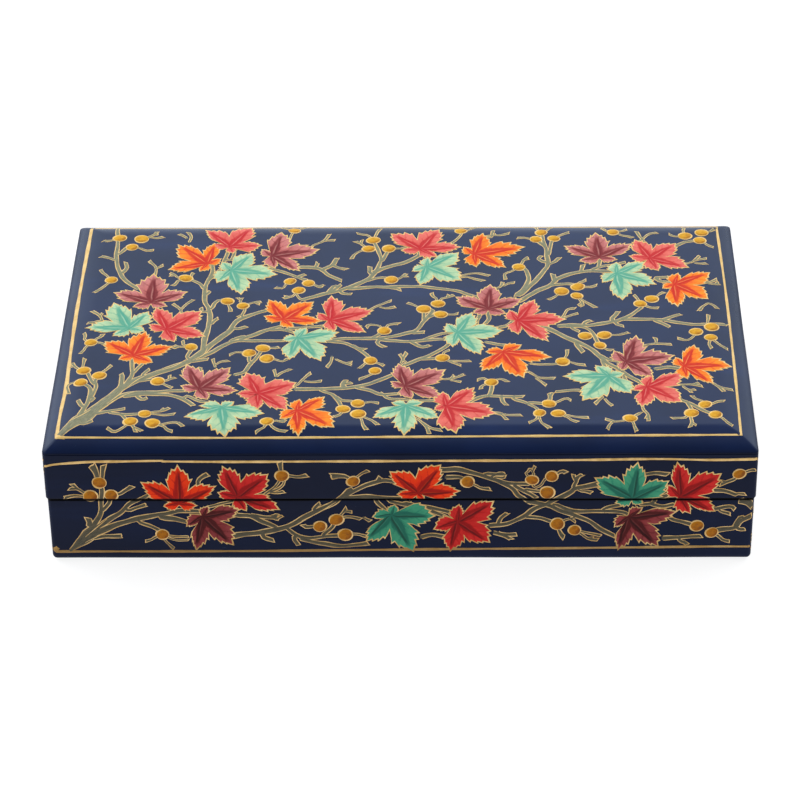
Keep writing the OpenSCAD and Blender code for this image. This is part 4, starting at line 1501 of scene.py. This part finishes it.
# All the paint of one face: one relief for each colour
def drawing(leaves, berries, branches, twigs, forks, lines, rng, bold, colours, shift, reach):
    made = {name: Relief() for name in ("branch_green", "gold_paint", "berry_ochre",
                                        *("leaf_" + c for c in leafColours))}
    green, gold = made["branch_green"], made["gold_paint"]

    def moved(points):  # None when all of it lies off a short face
        spots = np.asarray(points, float) + (shift, 0)
        return None if reach and np.abs(spots[:, 0]).min() > reach else spots

    carriers = [(x, y, holding["berry"], -1) for x, y in berries]  # place, reach and which branch it is
    wide, least = holding["leaf"]
    for colour, points in leaves:
        arms = np.array(points[1:]) - points[0]
        carriers += [(*(points[0] + share * arm), wide * (1 - share) * math.hypot(*arm) + least, -1)
                     for arm in arms for share in holding["armShares"]]
    for k, (widths, points) in enumerate(branches):
        path, run = smoothPath(points, 1.0)
        across = np.interp(run / run[-1], np.linspace(0, 1, len(widths)), widths)
        carriers += [(*spot, holding["branch"] * w, k) for spot, w in zip(path[1:-1], across[1:-1])]
    carriers = np.array(carriers)
    for width, points in lines:
        drawLine(gold, points, width, rng)
    for strokes, flare, prong in ((branches, 0.10, 0.0), (twigs, 0.18, 0.14)):
        for k, (widths, points) in enumerate(strokes):
            others = carriers if prong else carriers[carriers[:, 3] != k]
            spots = moved(anchored(points, others, rng, holding["twigReach" if prong else "branchReach"]))
            if spots is not None:
                drawBranch(green, gold, widths, spots, rng, bold, flare, prong)
    for points in forks:
        spots = moved(points)
        if spots is not None:
            path, run = smoothPath(spots, paintLook["step"])
            half = paintLook["forkHalf"] * bold * np.sin(np.clip(0.15 + run / run[-1], 0, 1) * math.pi * 0.85)
            ribbon(gold, path, run, half, half, paintLook["forkLine"], 0.5)
    for centre in berries:
        spots = moved([centre])
        if spots is not None:
            drawBerry(made["berry_ochre"], gold, spots[0], rng, bold)
    for colour, points in leaves:
        spots = moved(points)
        if spots is not None and (not reach or abs(spots[0][0]) < reach):
            drawLeaf(made["leaf_" + colours.get(colour, colour)], gold, spots[0], spots[1:], rng, bold)
    return made


# Cuts a drawing with planes (point, direction, whether the far part goes) and closes the openings.
def cut(arrays, planes):
    points, quads, tris, uvs = arrays
    mesh = bpy.data.meshes.new("cut")
    mesh.from_pydata(points.tolist(), [], quads.tolist() + tris.tolist())
    addMarks(mesh, uvs)
    work = bmesh.new()
    work.from_mesh(mesh)
    for spot, direction, clear in planes:
        made = bmesh.ops.bisect_plane(work, geom=work.verts[:] + work.edges[:] + work.faces[:], dist=1e-5,
                                      plane_co=spot, plane_no=direction, clear_outer=clear)
        if clear:
            edges = [e for e in made["geom_cut"] if isinstance(e, bmesh.types.BMEdge) and e.is_boundary]
            bmesh.ops.holes_fill(work, edges=edges)
    bmesh.ops.triangulate(work, faces=[f for f in work.faces if len(f.verts) > 4])
    work.to_mesh(mesh)
    work.free()
    return mesh


# Makes the pieces of one face and body from its reliefs.
def paintFace(face, body, made, planes):
    for paint, relief in made.items():
        if not relief.count:
            continue
        name = f"{body}_{face}_{paint}"
        if not planes:
            points, quads, tris, uvs = relief.arrays()
            meshPiece(name, laid(face, points), quads, tris, body, paint, paint, uvs)
            continue
        mesh = cut(relief.arrays(), planes)
        points = np.empty(len(mesh.vertices) * 3)
        mesh.vertices.foreach_get("co", points)
        points = points.reshape(-1, 3)
        if not len(points):
            bpy.data.meshes.remove(mesh)
            continue
        mesh.vertices.foreach_set("co", (laid(face, points) * mm).astype(np.float32).ravel())
        mesh.update()
        mesh.name = name
        placed(mesh, body, paint)


trim = {"rim": 0.06, "rimRows": (0.22, 0.45), "corner": 0.6, "cornerRows": (0.25, 0.55, 1.0)}  # mm


# Keeps the part above or below the seam and between the corners (axis: which way the face runs), with more
# rows of points where the rim and the corners turn in.
def seamPlanes(body, axis):
    sign, box = (1, lidBox) if body == "lid" else (-1, baseBox)
    edge, limit = (lidBox[0][2] if body == "lid" else baseBox[1][2]), box[1][axis] - trim["corner"]
    rows = [((0, edge + sign * trim["rim"], 0), (0, -sign, 0), True)]
    rows += [((0, edge + sign * step, 0), (0, -sign, 0), False) for step in trim["rimRows"]]
    for side in (-1, 1):
        rows += [((side * limit, 0, 0), (side, 0, 0), True)]
        rows += [((side * (limit - step), 0, 0), (side, 0, 0), False) for step in trim["cornerRows"]]
    return rows


rng = np.random.default_rng(17)
made = drawing(topLeaves, topBerries, topBranches, topTwigs, topForks, topFrame, rng, 1.0, {}, 0.0, None)
paintFace("top", "lid", made, None)
print("top painted")

shortLines = [(1.15, readPairs("-74.6,45.2 -30,45 20,45.4 74.6,45.3")),
              (1.2, readPairs("-74.6,5.2 -20,4.9 30,5.5 74.6,5.3"))]
swapped = {"orange": "rose", "rose": "orange"}
sides = {  # colours exchanged, how far the front's drawing is moved, lines, reach from the middle, axis
    "front": ({}, 0.0, frontLines, None, 0), "back": (swapped, 0.0, frontLines, None, 0),
    "left": ({"plum": "turquoise", "turquoise": "plum"}, 52.0, shortLines, 68, 1),
    "right": (swapped, -42.0, shortLines, 68, 1),
}
for face, (colours, shift, lines, reach, axis) in sides.items():
    made = drawing(frontLeaves, frontBerries, frontBranches, frontTwigs, frontForks, lines, rng,
                   paintLook["sideBold"], colours, shift, reach)
    for body in ("lid", "base"):
        paintFace(face, body, made, seamPlanes(body, axis))
    print(face, "painted")


for node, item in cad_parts.items():
    paint = "lip_black" if node.startswith("lip_") else "pin_steel" if node.endswith("pins") else \
        "wood_short" if "left" in node or "right" in node else "wood_long"
    item.data.materials.clear()
    item.data.materials.append(paints[paint])

velvetLook = {"step": 2.2, "swell": 0.10, "thinEdge": 0.8, "swellFrom": 6}  # mm


# A cloth on a grid: a slow swell, thin at its cut edges; the back lies flat on the board.
def velvet(name, node, facing, body):
    low, high = (np.array(corner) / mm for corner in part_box(node))
    size = high - low
    counts = np.ceil(size[:2] / velvetLook["step"]).astype(int)
    x, y = np.meshgrid(*[np.linspace(low[k], high[k], counts[k] + 1) for k in (0, 1)], indexing="ij")
    edge = np.minimum(np.minimum(x - low[0], high[0] - x), np.minimum(y - low[1], high[1] - y))
    thick = size[2] * (1 - 0.5 * np.exp(-edge / velvetLook["thinEdge"]))
    swell = velvetLook["swell"] * (np.sin(x / 9.5 + y / 23) + np.sin(y / 7.7 - x / 31 + 1.2))
    swell = swell * np.clip(edge / velvetLook["swellFrom"], 0, 1)
    back = low[2] if facing > 0 else high[2]
    front = back + facing * (thick - velvetLook["swell"] * 2 + swell)
    shape = x.shape
    upper = np.stack([x, y, front], -1).reshape(-1, 3)
    lower = np.stack([x, y, np.full(shape, back)], -1).reshape(-1, 3)
    index = np.arange(x.size).reshape(shape)
    quads = np.stack([index[:-1, :-1], index[1:, :-1], index[1:, 1:], index[:-1, 1:]], -1).reshape(-1, 4)
    rim = np.concatenate([index[:-1, 0], index[-1, :-1], index[:0:-1, -1], index[0, :0:-1]])
    nextRim = np.roll(rim, -1)
    walls = np.stack([rim, rim + x.size, nextRim + x.size, nextRim], 1)
    points = np.vstack([upper, lower])
    closed = np.vstack([quads, quads[:, ::-1] + x.size, walls])
    faces = turnedOut(points - points.mean(0), closed, [])
    piece = meshPiece(name, points, *faces, body, "lining_velvet", "lining_velvet")
    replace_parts(piece, node)


velvet("floor_velvet", "floor_lining", 1, "base")
velvet("lid_velvet", "lid_lining", -1, "lid")
print("linings laid")


floorHalf = 15  # metres
floorMesh = bpy.data.meshes.new("floor")
floorCorners = [(x * floorHalf, y * floorHalf, 0) for x, y in ((-1, -1), (1, -1), (1, 1), (-1, 1))]
floorMesh.from_pydata(floorCorners, [], [(0, 1, 2, 3)])
floorMesh.materials.append(paleFloor())
floor = bpy.data.objects.new("floor", floorMesh)
bpy.context.scene.collection.objects.link(floor)

lights = {  # place, point aimed at, width, height, watts; the gloss comes from the pale wall alone
    "softbox_left": ((-1.35, 0.55, 1.45), (0, 0, 0.03), 1.7, 1.5, 42.0),
    "softbox_right": ((1.35, 0.55, 1.45), (0, 0, 0.03), 1.7, 1.5, 42.0),
}
for name, (spot, aim, width, height, power) in lights.items():
    data = bpy.data.lights.new(name, "AREA")
    data.shape, data.size, data.size_y, data.energy = "RECTANGLE", width, height, power
    lamp = bpy.data.objects.new(name, data)
    z = np.array(spot, float) - np.array(aim, float)
    z /= np.linalg.norm(z)
    x = np.cross((0, 0, 1.0), z)
    x /= np.linalg.norm(x)
    turn = Matrix(np.column_stack([x, np.cross(z, x), z]).tolist()).to_4x4()
    lamp.matrix_world = Matrix.Translation(spot) @ turn
    lamp.visible_glossy = False
    bpy.context.scene.collection.objects.link(lamp)

world = bpy.data.worlds.new("studio")
bpy.context.scene.world = world
world.use_nodes = True
backdrop = {"bright": 0.81, "dim": 0.036, "overhead": 0.21, "corner": 0.9, "colour": (0.84, 0.97, 1.12, 1),
            "top": (0.76, 0.50), "side": (-0.25, 0.30)}  # where the wall ends, as height and depth


# A pale wall behind, bright up to about 45 degrees, under a dim ceiling, with a glow at the left.
def backdropLight():
    nodes = Nodes(world.node_tree)
    x, y, z = nodes.parts(nodes.node("TexCoord", {}, {}, "Generated"))
    wall = z.step(*backdrop["top"]) * y.step(*backdrop["side"]) * (1 - 0.22 * x.step(0.05, 0.6))
    overhead = z.step(0.45, 0.95) * y.step(-0.30, 0.20) * backdrop["overhead"]
    corner = x.step(-0.22, -0.5) * y.step(0.62, 0.40) * z.step(0.35, 0.6) * backdrop["corner"]
    strength = wall * (backdrop["bright"] - backdrop["dim"]) + overhead + corner + backdrop["dim"]
    background = nodes.tree.nodes["Background"]
    nodes.tree.links.new(strength.socket, background.inputs["Strength"])
    background.inputs["Color"].default_value = backdrop["colour"]


backdropLight()
bpy.context.scene.view_settings.view_transform = "Standard"

shot = {"place": (19.92, -1017.15, 736.2), "pitch": 35.19, "yaw": 1.187, "roll": -0.784, "lens": 148.38}
pitch, yaw, roll = (math.radians(shot[k]) for k in ("pitch", "yaw", "roll"))
right = np.array([math.cos(yaw), math.sin(yaw), 0])
level = np.array([-math.sin(yaw), math.cos(yaw), 0])
above = math.sin(pitch) * level + math.cos(pitch) * np.array([0, 0, 1.0])
ahead = math.cos(pitch) * level - math.sin(pitch) * np.array([0, 0, 1.0])
axes = [math.cos(roll) * right + math.sin(roll) * above,
        math.cos(roll) * above - math.sin(roll) * right, -ahead]
cameraData = bpy.data.cameras.new("camera")
cameraData.lens, cameraData.sensor_width = shot["lens"], 36.0
cameraData.clip_start, cameraData.clip_end = 0.05, 20.0
camera = bpy.data.objects.new("camera", cameraData)
turn = Matrix(np.column_stack(axes).tolist()).to_4x4()
camera.matrix_world = Matrix.Translation([c * mm for c in shot["place"]]) @ turn
bpy.context.scene.collection.objects.link(camera)
bpy.context.scene.camera = camera
print("floor, lights and camera set")
